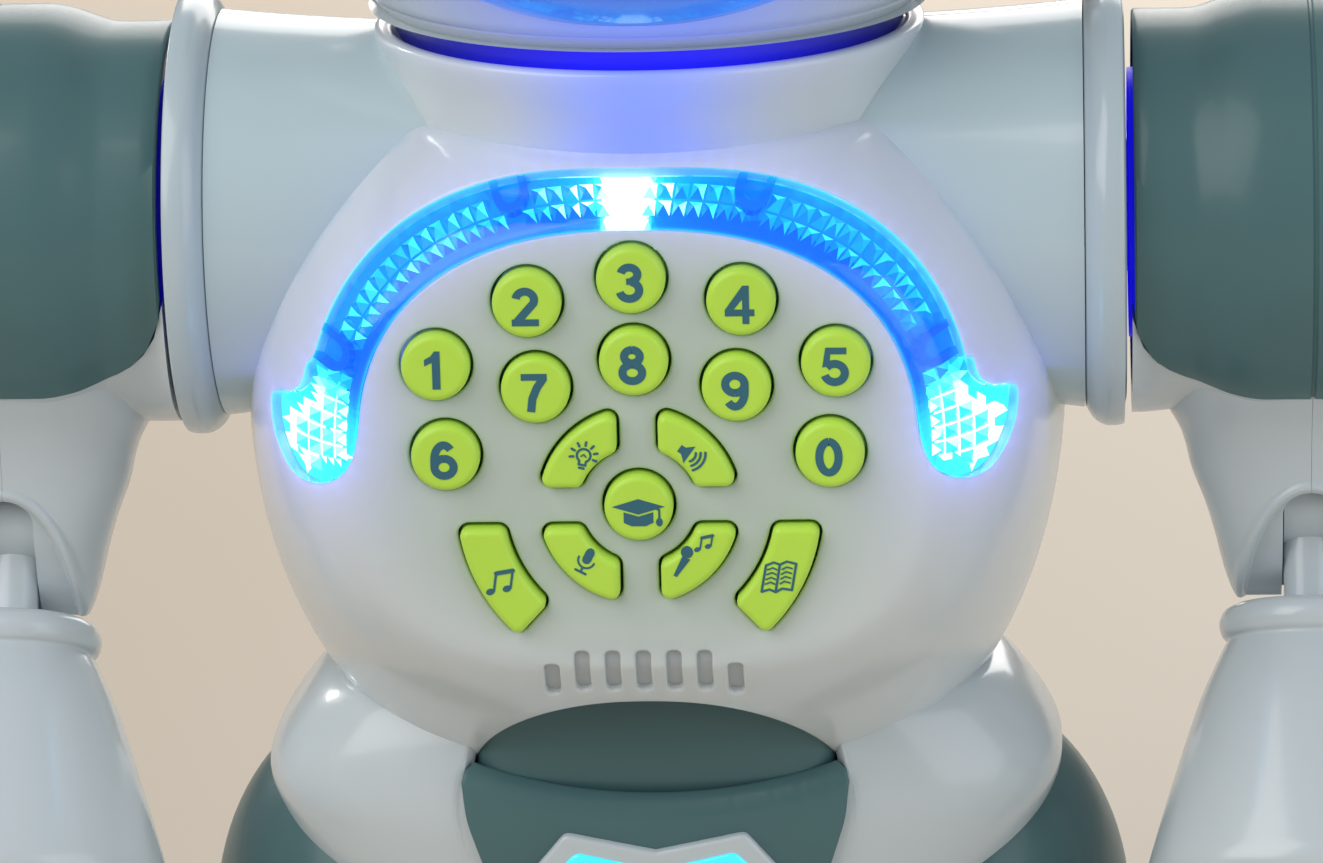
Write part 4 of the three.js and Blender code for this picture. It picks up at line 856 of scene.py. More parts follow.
bed_outline = grown(light_outline, -0.1)
line_angle = np.radians(np.linspace(3, 177, 260))
bed_lines = [arc_net(line_angle, row) for row in (strip_width - 0.35, strip_width - 0.2, strip_width)]
x, z = np.meshgrid(np.arange(-48, 48.1, 1.1), np.arange(144, 186, 1.1))
bed_fill = np.stack([x.ravel(), z.ravel()], 1)
off_strip = np.abs(row_of(bed_fill) - strip_width + 0.2) > 0.6
bed_fill = bed_fill[off_strip & inside(bed_fill, grown(light_outline, -0.6))]
points, triangles, _ = triangulated([bed_outline], np.concatenate([*bed_lines, bed_fill]))
triangles = triangles[inside(points[triangles].mean(1), bed_outline)]
bed_faces = wall_shell(on_bed(points, bed_depth), on_bed(points, bed_depth + bed_thickness), triangles)

# Pyramids stand in rows that follow the arc, at even steps along it
dense = np.radians(np.linspace(-20, 200, 1200))
run = np.concatenate([[0], np.cumsum(np.linalg.norm(np.diff(arc_net(dense, 4.0), axis=0), axis=1))])
angle = np.interp(np.arange(0, run[-1], pyramid_pitch), run, dense)
half_angle = 0.44 * np.gradient(angle)
half_row = 0.44 * pyramid_pitch
row = np.repeat(np.arange(pyramid_rows) * pyramid_pitch + strip_width + 0.5 * pyramid_pitch, len(angle))
angle, half_angle = np.tile(angle, pyramid_rows), np.tile(half_angle, pyramid_rows)
base = np.stack([
    arc_net(angle + turn_by * half_angle, row + out_by * half_row)
    for turn_by, out_by in ((-1, -1), (1, -1), (1, 1), (-1, 1))
], 1)
whole = inside(base.reshape(-1, 2), grown(light_outline, -0.8)).reshape(-1, 4).all(1)
base = base[whole & (gap_to(base.mean(1), screw_posts) > 2.7)]
count = len(base)
pyramid_points = np.concatenate([
    on_bed(base.reshape(-1, 2), bed_depth + 0.02), on_bed(base.mean(1), tip_depth),
])
corner = np.arange(count)[:, None] * 4 + np.arange(4)
tip = np.broadcast_to(count * 4 + np.arange(count)[:, None], (count, 4))
pyramid_faces = np.stack([corner, np.roll(corner, -1, 1), tip], -1).reshape(-1, 3).tolist()
pyramid_faces += corner[:, ::-1].tolist()
diffuser = hold_mesh("light_diffuser", *joined(bed_faces, (pyramid_points, pyramid_faces)))


def face_vectors(item, kind):
    """The centre or the normal of every face."""
    values = np.empty(len(item.data.polygons) * 3)
    item.data.polygons.foreach_get(kind, values)
    return values.reshape(-1, 3)


def set_glow(item, values):
    """Stores how brightly each face glows, from 0 to 1."""
    item.data.attributes.new("glow", "FLOAT", "FACE").data.foreach_set("value", values)


# Each facet glows by its slope and a little by chance, and all of it more by the lamps
middles = face_vectors(diffuser, "center")[:, [0, 2]] / mm
facing = face_vectors(diffuser, "normal")
level_facing = surface_normals(on_casing, middles, (0, -1, 0))
slope = facing - level_facing * np.sum(facing * level_facing, 1, keepdims=True)
row = row_of(middles)
is_facet = (np.linalg.norm(slope, axis=1) > 0.3) & (row > strip_width)
in_strip = row < strip_width - 0.1
in_net = gap_to(middles, base.mean(1)) < 1.3
chance = np.random.default_rng(7)
tone = 0.15 * slope[:, 0] + 0.20 * slope[:, 2] + chance.uniform(-0.10, 0.10, len(middles))
from_top = np.where(middles[:, 1] > 170, np.abs(middles[:, 0] - lamp_places[0, 0]), 99)
shine = np.exp(-(from_top / 7.0) ** 2)
core = 1 / (1 + np.exp((from_top - 2.6) / 0.45))
in_foot = np.exp(-(gap_to(middles, lamp_places[1:]) / 8.6) ** 6)
kinds = [is_facet, in_net, in_strip]
glow = np.select(kinds, [0.56 + tone, 0.48, 0.24], 0.38)
glow += shine * np.select(kinds, [0.14 + 0.5 * (tone > 0.03), 0.26, 0.24], 0.34) + core
foot_glow = np.select(kinds, [0.78 + 0.6 * tone, 1.0, 0.70], 0.72)
glow += (foot_glow - glow) * in_foot
set_glow(diffuser, np.clip(glow, 0, 1))

lit_diffuser, nodes, links, shader = new_material("lit_diffuser")
shader.inputs["Base Color"].default_value = (0.03, 0.16, 0.5, 1)
shader.inputs["Roughness"].default_value = 0.15
glow_value = attribute(nodes, "glow").outputs["Fac"]
ramp = nodes.new("ShaderNodeValToRGB")
for position, colour in (
    (0.20, (0.0, 0.07, 0.80, 1)),
    (0.40, (0.0, 0.20, 0.92, 1)),
    (0.60, (0.01, 0.42, 1.0, 1)),
    (0.82, (0.10, 0.80, 1.0, 1)),
):
    ramp.color_ramp.elements.new(position).color = colour
ramp.color_ramp.elements[0].color = (0.0, 0.02, 0.45, 1)
ramp.color_ramp.elements[-1].color = (1.0, 1.0, 1.0, 1)
links.new(glow_value, ramp.inputs["Fac"])
links.new(ramp.outputs["Color"], shader.inputs["Emission Color"])
strength = ranged(nodes, links, glow_value, 0.85, 2.8, shader.inputs["Emission Strength"])
strength.inputs["From Min"].default_value = 0.5
finish_piece(diffuser, lit_diffuser, "body", "light_reflector", slot="blue_lens", sharp=0)

# Each screw post is a tube whose side is open towards the torso's edge
horseshoe = np.concatenate([
    arc((0, 0), 2.3, 180, 360, 20), [(2.3, 2.2), (1.3, 2.2)],
    arc((0, 0), 1.3, 360, 180, 16), [(-1.3, 2.2), (-2.3, 2.2)],
])
posts = []
for post in screw_posts:
    outwards = unit(post - (0, torso_middle))
    footprint = horseshoe @ np.array([(outwards[1], -outwards[0]), outwards]) + post
    posts.append(lofted([on_bed(footprint, depth) for depth in (bed_depth + 0.1, 0.45, 0.3)]))
light_posts = hold_mesh("light_arc_posts", *joined(*posts))
set_glow(light_posts, np.where(np.arange(len(light_posts.data.polygons)) % 3 == 0, 0.30, 0.22))
finish_piece(light_posts, lit_diffuser, "body", slot="blue_lens", sharp=30)

# ---- Keys ------------------------------------------------------------------------
# Seventeen lime keys of moulded silicone-feel plastic: eleven round ones and six pieces of
# rings. Each stands proud of the casing on its own post, with a rounded upper edge.
key_face = -48.3
key_edge = (
    (0.0, -44.2), (0.0, -47.35), (0.07, -47.72), (0.25, -48.02), (0.5, -48.22),
    (0.8, key_face), (1.0, key_face),
)


def standing(outline, y):
    """An (x, z) outline at a depth y."""
    return np.stack([outline[:, 0], np.full(len(outline), y), outline[:, 1]], 1)


lime = moulded_plastic("lime_plastic", (0.54, 0.85, 0.08), 0.33, tone=0.03, grain=0.03)
for name in key_names:
    cap = hold_mesh(name + "_cap", *lofted([standing(key_outline(name, -inset), y) for inset, y in key_edge]))
    finish_piece(cap, lime, name + "_body", name, slot="lime_keys", sharp=50)

# ---- Numerals and pictograms -----------------------------------------------------
# Printed in teal ink on the keys: bold numerals on the round ones, small pictures on the
# middle one and the ring pieces. Each stroke is a thin flat shape.
print_ink = moulded_plastic("teal_ink", (0.03, 0.14, 0.20), 0.45, tone=0.05, grain=0.0)
print_face = -48.36


def ribbon(points, width, cap=5):
    """The outline of an open line drawn with a round pen of a width."""
    points = np.asarray(points, float)
    run = unit(np.diff(points, axis=0))
    along = unit(np.concatenate([run[:1], run[:-1] + run[1:], run[-1:]]))
    side = np.stack([-along[:, 1], along[:, 0]], 1) * width / 2
    end = np.degrees(np.arctan2(run[-1, 1], run[-1, 0]))
    start = np.degrees(np.arctan2(run[0, 1], run[0, 0]))
    return np.concatenate([
        points + side,
        arc(points[-1], width / 2, end + 90, end - 90, cap)[1:-1],
        (points - side)[::-1],
        arc(points[0], width / 2, start - 90, start - 270, cap)[1:-1],
    ])


def turned(points, lean):
    """Points of the front view turned anticlockwise by an angle in degrees."""
    c, s = np.cos(np.radians(lean)), np.sin(np.radians(lean))
    return points @ np.array([[c, s], [-s, c]])


def spot(x, z, radius, tall=1.0, lean=0.0):
    """A round or oval dot: a circle squeezed in height and turned."""
    circle = compass(np.linspace(0, 2 * np.pi, 24, endpoint=False))
    return turned(circle * (radius, radius * tall), lean) + (x, z)


pen = 0.3
note_pair = [
    spot(-1.35, -1.25, 0.55, 0.75, 20), spot(0.75, -0.85, 0.55, 0.75, 20),
    ribbon([(-0.9, -1.15), (-0.55, 1.2)], pen), ribbon([(1.2, -0.75), (1.55, 1.55)], pen),
    ribbon([(-0.55, 1.15), (1.55, 1.5)], 0.55),
]
pictograms = {
    "key_light": (0.0, 0.0, -12, [
        ribbon(arc((0, 0.25), 0.85, -60, 240, 22), pen), ribbon([(-0.42, -0.5), (-0.42, -0.95)], pen),
        ribbon([(0.42, -0.5), (0.42, -0.95)], pen), ribbon([(-0.42, -0.98), (0.42, -0.98)], pen),
        ribbon([(-0.3, -1.4), (0.3, -1.4)], pen), ribbon([(-0.3, 0.1), (0, 0.4), (0.3, 0.1)], 0.2),
    ] + [
        ribbon(compass(np.radians([angle])) * [[1.3], [1.75]] + (0, 0.25), pen)
        for angle in range(-15, 200, 35)
    ]),
    "key_sound": (0.0, 0.1, -36, [
        np.array([(-1.7, -0.5), (-1.1, -0.5), (-0.2, -1.3), (-0.2, 1.3), (-1.1, 0.5), (-1.7, 0.5)]),
    ] + [ribbon(arc((-0.5, 0), r, -38, 38, 10), 0.32) for r in (1.05, 1.65, 2.25)]),
    "key_learn": (0.0, -0.5, 0, [
        np.array([(-3.3, 0.75), (0, 1.75), (3.3, 0.75), (0, -0.25)]),
        np.array([
            (-1.85, 0.05), (0, -0.5), (1.85, 0.05), (1.85, -1.3), (0.9, -1.75), (-0.9, -1.75), (-1.85, -1.3),
        ]),
        ribbon([(1.9, 0.65), (2.6, 0.35), (2.6, -0.9)], 0.3), spot(2.6, -1.25, 0.42, 1.3),
    ]),
    "key_music": (-0.2, -0.5, 0, note_pair),
    "key_record": (0.0, 0.0, -28, [
        ribbon([(0, 0.15), (0, 1.15)], 1.15), ribbon(arc((0, 0.1), 1.05, 180, 360, 14), 0.26),
        ribbon([(0, -0.95), (0, -1.55)], 0.28), ribbon([(-0.7, -1.6), (0.7, -1.6)], 0.3),
    ]),
    "key_sing": (0.0, 0.0, 0, [
        spot(-0.75, 1.0, 0.78), np.array([(-1.35, 0.45), (-0.35, 0.05), (-2.1, -2.2), (-2.5, -2.0)]),
        spot(0.55, 1.35, 0.4, 0.75, 20), spot(1.9, 1.75, 0.4, 0.75, 20),
        ribbon([(0.9, 1.4), (1.15, 2.9)], 0.22), ribbon([(2.25, 1.8), (2.5, 3.2)], 0.22),
        ribbon([(1.15, 2.85), (2.5, 3.15)], 0.4),
    ]),
    "key_story": (0.1, -0.2, 0, [
        ribbon([(0.15, 1.7), (-0.6, 2.0), (-1.6, 1.6)], pen), ribbon([(-1.6, 1.6), (-2.2, -1.8)], pen),
        ribbon([(-2.2, -1.8), (-1.2, -1.5), (-0.45, -1.85)], pen), ribbon([(-0.45, -1.85), (0.15, 1.7)], pen),
        ribbon([(0.15, 1.7), (1.0, 2.1), (2.2, 1.8)], pen), ribbon([(2.2, 1.8), (1.6, -1.6)], pen),
        ribbon([(1.6, -1.6), (0.4, -1.4), (-0.45, -1.85)], pen),
    ] + [
        ribbon(np.array(line) - (0.1 * i, 0.62 * i), 0.2)
        for line in ([(-1.4, 1.05), (-0.75, 1.3), (-0.25, 1.05)], [(0.45, 1.1), (1.0, 1.4), (1.65, 1.2)])
        for i in range(4)
    ]),
}


def print_on(key, name, outlines):
    """Flat shapes of ink on a key, each 0.004 mm prouder than the one before it."""
    shapes = [
        lofted([standing(outline, depth) for depth in (key_face + 0.2, print_face - 0.004 * order)])
        for order, outline in enumerate(outlines)
    ]
    finish_piece(hold_mesh(name, *joined(*shapes)), print_ink, key + "_body", slot="dark_waist")


for key, (x, z, lean, outlines) in pictograms.items():
    middle = learn_place if key == "key_learn" else key_outline(key).mean(0)
    print_on(key, "pictogram_" + key[4:], [turned(outline, lean) + middle + (x, z) for outline in outlines])

stroke = 0.95
numerals = {
    "0": [ribbon(arc((0, 0), 1, 90, 450, 40) * (1.13, 1.87), stroke, 1)],
    "1": [np.array([
        (0.75, -2.3), (0.75, 2.3), (0.1, 2.3), (-0.35, 1.7), (-1.1, 1.3), (-1.1, 0.5), (-0.2, 0.95),
        (-0.2, -2.3),
    ])],
    "2": [ribbon(np.concatenate([
        arc((0, 0.87), 1.0, 172, -28, 18) * (1.08, 1), [(0.1, -0.55), (-0.95, -1.75)],
    ]), stroke, 1), np.array([(-1.6, -2.3), (1.58, -2.3), (1.58, -1.48), (-1.6, -1.48)])],
    "3": [ribbon(arc((0, 1.05), 0.85, 168, -78, 18) * (1.15, 1), stroke, 1),
          ribbon(arc((0, -0.85), 1.02, 78, -168, 22) * (1.12, 1), stroke, 1),
          np.array([(-0.35, 0.58), (0.3, 0.58), (0.3, -0.18), (-0.35, -0.18)])],
    "4": [np.array([(0.3, 2.3), (1.1, 2.3), (1.1, -2.3), (0.3, -2.3)]),
          np.array([(-1.75, -0.55), (-1.75, -1.35), (1.7, -1.35), (1.7, -0.55)]),
          np.array([(-1.75, -0.6), (0.35, 2.3), (0.9, 2.3), (0.9, 1.45), (-0.75, -0.6)])],
    "5": [np.array([(-1.05, 2.3), (1.4, 2.3), (1.4, 1.5), (-0.85, 1.5)]),
          np.array([(-1.05, 2.3), (-0.4, 2.3), (-0.62, 0.15), (-1.45, -0.1)]),
          ribbon(arc((0, -0.75), 1.1, 142, -165, 26) * (1.08, 1), stroke, 1)],
    "6": [ribbon(arc((0, -0.82), 1.05, 90, 450, 32) * (1.08, 1), stroke, 1),
          ribbon(np.concatenate([arc((0, 0), 1, 45, 180, 18) * (1.13, 1.87), [(-1.13, -0.8)]]), stroke, 1)],
    "7": [np.array([(-1.5, 2.3), (1.55, 2.3), (1.55, 1.5), (-1.5, 1.5)]),
          ribbon([(1.2, 1.85), (0.35, 0.6), (-0.2, -0.7), (-0.4, -2.3)], stroke, 1)],
    "8": [ribbon(arc((0, 1.08), 0.8, 90, 450, 28) * (1.15, 1), stroke, 1),
          ribbon(arc((0, -0.88), 1.0, 90, 450, 32) * (1.15, 1), stroke, 1)],
}
numerals["9"] = [outline * (-1, -1) for outline in numerals["6"]]
for digit, outlines in numerals.items():
    middle = np.array(digit_places["key_" + digit]) + (-0.12, -0.25)
    print_on("key_" + digit, "numeral_" + digit, [1.06 * outline + middle for outline in outlines])

# ---- Key mat, board, loudspeaker, slot backing ------------------------------------
# Behind the front: the green silicone mat that springs the keys, the circuit board, a
# small loudspeaker, and a pale grille plate that is seen through the seven slots.


def repaint(node, material):
    """Gives its finish to a CAD node that is shown as it is."""
    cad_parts[node].data.materials.clear()
    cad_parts[node].data.materials.append(material)


# The mat's dark green is partly its own and partly painted shade for the gaps round the keys
repaint("key_mat", moulded_plastic("shaded_green_silicone", (0.10, 0.22, 0.03), 0.6, tone=0.06))
repaint("main_board", moulded_plastic("fibre_board", (0.05, 0.20, 0.09), 0.5, tone=0.10))
repaint("speaker", moulded_plastic("speaker_black", (0.03, 0.03, 0.035), 0.5, tone=0.10))

grey_plastic = moulded_plastic("grey_plastic", (0.50, 0.54, 0.56), 0.4, tone=0.03)
grille_outline = round_rectangle(-14.5, 14.5, slot_top - slot_length - 3.0, slot_top + 2.0, 1.5)
slot_plate = hold_mesh("slot_plate", *inlay(spaced(grille_outline, 1.0), on_casing, -1.0, 1.8, 0.3, 1.5))
finish_piece(slot_plate, grey_plastic, "body", slot="grey_trim")

# ---- Battery door, battery pack and power switch -----------------------------------
# On the back: a white door with a grip of raised ribs and a screw, a pack of cells behind
# it, and above it a grey slide switch with a ribbed knob.


def on_back(outline):
    """Points of the rear casing over points (x, z) as they look from behind, turned round
    half a turn so that they face the front."""
    return casing_place(casing_plan(outline * (-1, 1), False), False) * (-1, -1, 1)


def back_inlay(outline, lift, thickness, edge, spacing):
    """An inlay of the rear casing: made facing the front and turned round half a turn."""
    points, faces = inlay(outline * (-1, 1), on_back, lift, thickness, edge, spacing)
    return points * (-1, -1, 1), faces


def block(low, high, edge=0.3):
    """A closed box between two corners with its long edges cut by a small chamfer."""
    low, high = np.array(low, float), np.array(high, float)
    x = np.array([edge, 0, 0, edge, -edge, 0, 0, -edge])
    z = np.array([0, edge, -edge, 0, 0, -edge, edge, 0])
    x = x + np.array([low[0]] * 4 + [high[0]] * 4)
    z = z + np.array([low[2], low[2], high[2], high[2]] * 2)
    loop = np.stack([x, z], 1)
    return lofted([standing(loop, low[1]), standing(loop, high[1])])


door_ribs = [block((-9, 43.2, z), (9, 44.7, z + 0.9)) for z in 158.0 + np.arange(4) * 1.9]
door_panel = back_inlay(grown(door_outline, -0.3), 0.0, 1.6, 0.4, 1.6)
battery_door = hold_mesh("door", *joined(door_panel, *door_ribs))
finish_piece(battery_door, white_plastic, "body", "battery_door", slot="white_casing", sharp=35)
screw_height = 132.0
door_screw = hold_mesh("door_screw", *joined(
    lathe([(0.0, 43.2), (2.0, 43.2), (2.0, 44.4), (1.6, 44.7), (0.0, 44.8)], "y", (0, 0, screw_height), 32),
    block((-1.3, 44.6, screw_height - 0.25), (1.3, 44.95, screw_height + 0.25), 0.05),
))
steel = moulded_plastic("plated_steel", (0.55, 0.55, 0.56), 0.3, tone=0.05)
steel.node_tree.nodes["Principled BSDF"].inputs["Metallic"].default_value = 1.0
finish_piece(door_screw, steel, "body", slot="grey_trim")
repaint("battery_pack", moulded_plastic("cell_wrap", (0.08, 0.22, 0.50), 0.35, tone=0.05))


def box_of(node):
    """The lowest and the highest corner of a CAD node, in millimetres."""
    return np.array(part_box(node)) / mm


low, high = box_of("power_switch")
knob_x = (low[0] + high[0]) / 2
knob_body = block(
    (knob_x - 2.5, low[1], switch_middle - 1.5), (knob_x + 2.5, high[1] - 0.5, switch_middle + 1.5),
)
knob_ribs = [
    block((x - 0.3, high[1] - 0.8, switch_middle - 1.4), (x + 0.3, high[1], switch_middle + 1.4), 0.1)
    for x in knob_x + np.arange(-1.8, 1.9, 0.9)
]
knob = hold_mesh("switch_knob", *joined(knob_body, *knob_ribs))
finish_piece(knob, grey_plastic, "switch", "power_switch", slot="grey_trim", sharp=30)

# ---- Waist -------------------------------------------------------------------------
# The dark teal abdomen: a smooth glossy moulding, oval from above, that the casing's arch
# opens over and that sits down into the hips.


def super_ellipse(angle, power):
    """Coordinates x and y of the unit superellipse |x|^n + |y|^n = 1: the powers 2/n of an
    angle's cosine and sine."""
    c, s = np.cos(angle), np.sin(angle)
    return np.sign(c) * np.abs(c) ** (2 / power), np.sign(s) * np.abs(s) ** (2 / power)


def super_column(half_width, half_depth, power, z, middle_x=0.0, sides=128):
    """One level loop |x/a|^n + |y/b|^n = 1 at a height z."""
    x, y = super_ellipse(np.linspace(0, 2 * np.pi, sides, endpoint=False), power)
    return np.stack([half_width * x + middle_x, half_depth * y, np.full(sides, z)], 1)


teal_plastic = moulded_plastic("teal_plastic", (0.078, 0.163, 0.172), 0.34, tone=0.05, coat=0.10)
teal_plastic.node_tree.nodes["Principled BSDF"].inputs["Specular IOR Level"].default_value = 0.33
abdomen = hold_mesh("abdomen_shell", *lofted([
    super_column(half, deep, 10.0, z) for z, half, deep in (
        (85.3, 22.0, 24.5), (92, 22.8, 25.6), (96, 23.4, 26.2), (98, 23.9, 26.9), (101, 24.0, 27.7),
        (106, 24.0, 28.2), (112, 24.0, 28.2), (115.2, 23.7, 27.9), (116.2, 22.7, 26.9),
    )
]))
finish_piece(abdomen, teal_plastic, "body", "abdomen", slot="dark_waist", sharp=50)

# ---- Hips --------------------------------------------------------------------------
# The white hip casing below the waist, wider than the torso's foot, with a rounded upper
# edge. A teal belt plate is let into its front, with a white buckle and a cyan light.
hip_top, rim_top, hip_floor = 112.0, 110.0, 66.0
hip_sections = np.array([
    (0, 41.0, 24.5), (5, 47.0, 27.5), (14, 52.4, 29.0), (22, 50.0, 28.5), (30, 45.0, 26.5), (38, 36.0, 23.0),
    (46, 25.0, 18.0),
])


def hip_size(z):
    """Half width and half depth of the hips at heights z, along a Catmull-Rom curve through
    the sections."""
    line = smooth_through(hip_sections, 12)
    drop = hip_top - z
    return np.interp(drop, line[:, 0], line[:, 1]), np.interp(drop, line[:, 0], line[:, 2])


def on_hips(outline):
    """Points of the front of the hips over points (x, z)."""
    half, deep = hip_size(outline[:, 1])
    y = -deep * np.maximum(1 - np.abs(outline[:, 0] / half) ** 3, 0.01) ** (1 / 3)
    return np.stack([outline[:, 0], y, outline[:, 1]], 1)


belt_top, belt_dip, belt_drop, belt_half = 102.6, 4.2, 29.8, 25.0
belt_corner, hips_at_belt = 24.2, 50.0


def belt_edge(x):
    """Height of the belt's upper edge at x: a parabola, lowest in the middle."""
    return belt_top - belt_dip * (1 - (x / belt_half) ** 2)


# The rim dips below the belt's edge in front. Columns stand close together at its corners,
# and rows run from the rolled rim down to the floor and in to the middle.
corner_angle = np.arccos((np.array([belt_corner, 24.7, 25.2]) / hips_at_belt) ** 1.5)
hip_angle = np.sort(np.concatenate([
    np.linspace(0, 2 * np.pi, 240, endpoint=False), 2 * np.pi - corner_angle, np.pi + corner_angle,
]))
unit_x, unit_y = super_ellipse(hip_angle, 3)
beside_belt = np.clip(np.abs(unit_x) * hips_at_belt - belt_corner, 0, 1)
dipped = belt_edge(np.clip(unit_x * hips_at_belt, -belt_half, belt_half)) - 1.6
climbing = dipped + (rim_top - dipped) * beside_belt ** 2 * (3 - 2 * beside_belt)
rim_height = np.where(unit_y < 0, climbing, rim_top)
fall = np.concatenate([[0.0, 0.01, 0.03], np.linspace(0.06, 1, 40), np.full(6, 1.0)])[:, None]
shrink = np.concatenate([np.ones(43), [0.95, 0.85, 0.6, 0.3, 0.1, 0.0]])[:, None]
hip_roll = np.concatenate([[0.5, 0.15], np.zeros(47)])[:, None]
hip_skins = []
for inset, roll_in in ((0.0, hip_roll), (wall, -hip_roll)):
    z = rim_height - fall * (rim_height - hip_floor - inset)
    half, deep = hip_size(z)
    x, y = (half - inset - roll_in) * unit_x * shrink, (deep - inset - roll_in) * unit_y * shrink
    hip_skins.append(np.stack([x, y, z], -1).reshape(-1, 3))
hip_triangles = halves(surface_faces(len(fall), len(hip_angle), True))
hips = hold_mesh("hip_casing", *wall_shell(*hip_skins, hip_triangles))
finish_piece(hips, white_plastic, "body", "pelvis_shell", slot="white_casing", sharp=40)


def on_belt(outline):
    """Points of the belt plate over points (x, z): the hips' surface, sloped inwards at 42
    degrees within 1.7 mm of the dipped upper edge."""
    below = belt_edge(outline[:, 0]) - outline[:, 1]
    return on_hips(outline) + np.maximum(1.7 - below, 0)[:, None] * (0, 0.9, 0)


belt_x = np.linspace(-23.6, 23.6, 41)
belt_side = bent([
    (belt_half, belt_top - 1.6), (24.4, belt_top - 7), (17, belt_top - belt_drop), (0, belt_top - belt_drop),
], 1.5)
belt_outline = spaced(np.concatenate([
    np.stack([belt_x, belt_edge(belt_x)], 1), belt_side[:-1], belt_side[::-1] * (-1, 1),
]), 0.8)
belt = hold_mesh("belt", *inlay(belt_outline, on_belt, 1.3, 1.6, 0.4, 0.85))
finish_piece(belt, teal_plastic, "body", "belt_plate", slot="dark_waist", sharp=50)


def buckle_outline(half, top, bottom):
    """A buckle's outline: six corners and a shallow V in the upper edge."""
    side = [(half * 0.63, top), (half, (top + bottom) / 2 + 1.5), (half * 0.5, bottom)]
    mirrored = [(-x, z) for x, z in side[::-1]]
    notch = (0, top - 2.4)
    return spaced(bent([notch, *side, *mirrored, notch], 0.8)[:-1], 0.5)


buckle = hold_mesh("buckle", *inlay(buckle_outline(18.5, 94.5, 75.0), on_hips, 2.4, 0.0, 0.6, 1.0))
finish_piece(buckle, white_plastic, "body", "belt_buckle", slot="white_casing", sharp=50)
belt_lamp = hold_mesh("belt_lamp", *inlay(buckle_outline(16.2, 92.2, 77.2), on_hips, 2.8, -0.8, 0.5, 1.0))
cyan_lamp = moulded_plastic("cyan_lamp", (0.10, 0.55, 0.65), 0.2, coat=0.5)
cyan_lamp.node_tree.nodes["Principled BSDF"].inputs["Emission Color"].default_value = (0.0, 0.75, 1.0, 1)
cyan_lamp.node_tree.nodes["Principled BSDF"].inputs["Emission Strength"].default_value = 0.75
finish_piece(belt_lamp, cyan_lamp, "body", "belt_light", slot="cyan_light", sharp=50)

# ---- Head --------------------------------------------------------------------------
# A rounded white head in two halves on a turning post, with a rim over the collar, a dark
# glossy visor with two lit eyes and a round cap over each ear.
head_middle, head_base, head_rise, head_fall = 237.8, 198.1, 42.2, 52.0
head_half, head_deep = 48.0, 47.0


def head_shrink(z):
    """How far the head's oval shrinks at heights z: a superellipse of power 2.3, with one
    size above its middle and another below."""
    reach = np.where(z > head_middle, (z - head_middle) / head_rise, (head_middle - z) / head_fall)
    return np.maximum(1 - np.clip(reach, 0, 1) ** 2.3, 0) ** (1 / 2.3)


def on_head(outline):
    """Points of the head's front over points (x, z): level ellipses that shrink."""
    shrink = head_shrink(outline[:, 1])
    across = np.clip(outline[:, 0] / (head_half * np.maximum(shrink, 1e-6)), -0.999, 0.999)
    return np.stack([outline[:, 0], -head_deep * shrink * np.sqrt(1 - across ** 2), outline[:, 1]], 1)


def head_half_shell(front):
    """Half of the head: rows of heights by angle, from a floor inside the rim up to the
    crown, with a groove above the rim and a wall."""
    fall = np.concatenate([[0.0, 1.5, 1.75, 1.95, 2.2], 37.4 * np.sin(np.linspace(0.09, np.pi / 2, 24))])
    rise = head_rise * np.sin(np.linspace(0, 1, 32)[1:] * np.pi / 2)
    z = np.concatenate([np.full(4, head_base + 0.02), head_base + fall, head_middle + rise])
    spread = np.concatenate([[10.0, 22.0, 35.2, 36.2], head_half * head_shrink(z[4:])])
    spread[6:8] -= 0.5
    towards_crown = np.maximum(z - head_middle, 0) / head_rise
    a = np.linspace(0, np.pi, 97)[None, :]
    skins = []
    for inset in (0.0, 2.0):
        radius = np.maximum(spread - inset, 0.2)[:, None]
        y = np.maximum(radius * np.sin(a) * head_deep / head_half, 0) + parting
        level = z + np.where(np.arange(len(z)) < 5, inset, -inset * towards_crown)
        points = np.stack([radius * np.cos(a), -y if front else y, level[:, None] + 0 * y], -1)
        skins.append(points.reshape(-1, 3))
    return wall_shell(*skins, halves(surface_faces(len(z), 97, False)))


# Light from the ring in the neck reaches the face's underside
for name, node, front in (
    ("face_casing", "head_front_shell", True),
    ("crown_casing", "head_rear_shell", False),
):
    half = hold_mesh(name, *head_half_shell(front))
    finish_piece(half, lit_white, "head", node, slot="white_casing", sharp=35)
    place = points_of(half)
    climb = np.clip((place[:, 2] - head_base) / 16, 0, 1)
    by_light = np.exp(-(bearing_of(place) / 36) ** 2) * np.sin(np.pi * climb ** 0.6) * front
    set_lit(half, 0.5 * by_light)
    set_painted_tint(half, 1 - by_light[:, None] * np.array([(0.55, 0.42, 0.0)]))

visor_material = moulded_plastic("smoked_visor", (0.012, 0.02, 0.03), 0.08, tone=0.02, grain=0.0, coat=1.0)
add_glow(visor_material, (0.06, 0.24, 1.0))
low, high = box_of("face_visor")
visor_half, _, visor_rise = (high - low) / 2
visor_middle = (high + low)[2] / 2 - 2.2
unit_x, unit_z = super_ellipse(np.linspace(0, 2 * np.pi, 160, endpoint=False), 2.2)
visor_outline = np.stack([visor_half * unit_x, visor_middle + visor_rise * unit_z], 1)
visor = hold_mesh("visor", *inlay(spaced(visor_outline, 1.2), on_head, 1.2, 0.6, 1.0, 1.8))
finish_piece(visor, visor_material, "head", "face_visor", slot="visor", sharp=50)
# Painted light: the visor glows blue along its lower edge
set_lit(visor, 0.8 * np.exp(-((points_of(visor)[:, 2] - low[2]) / 5) ** 2))

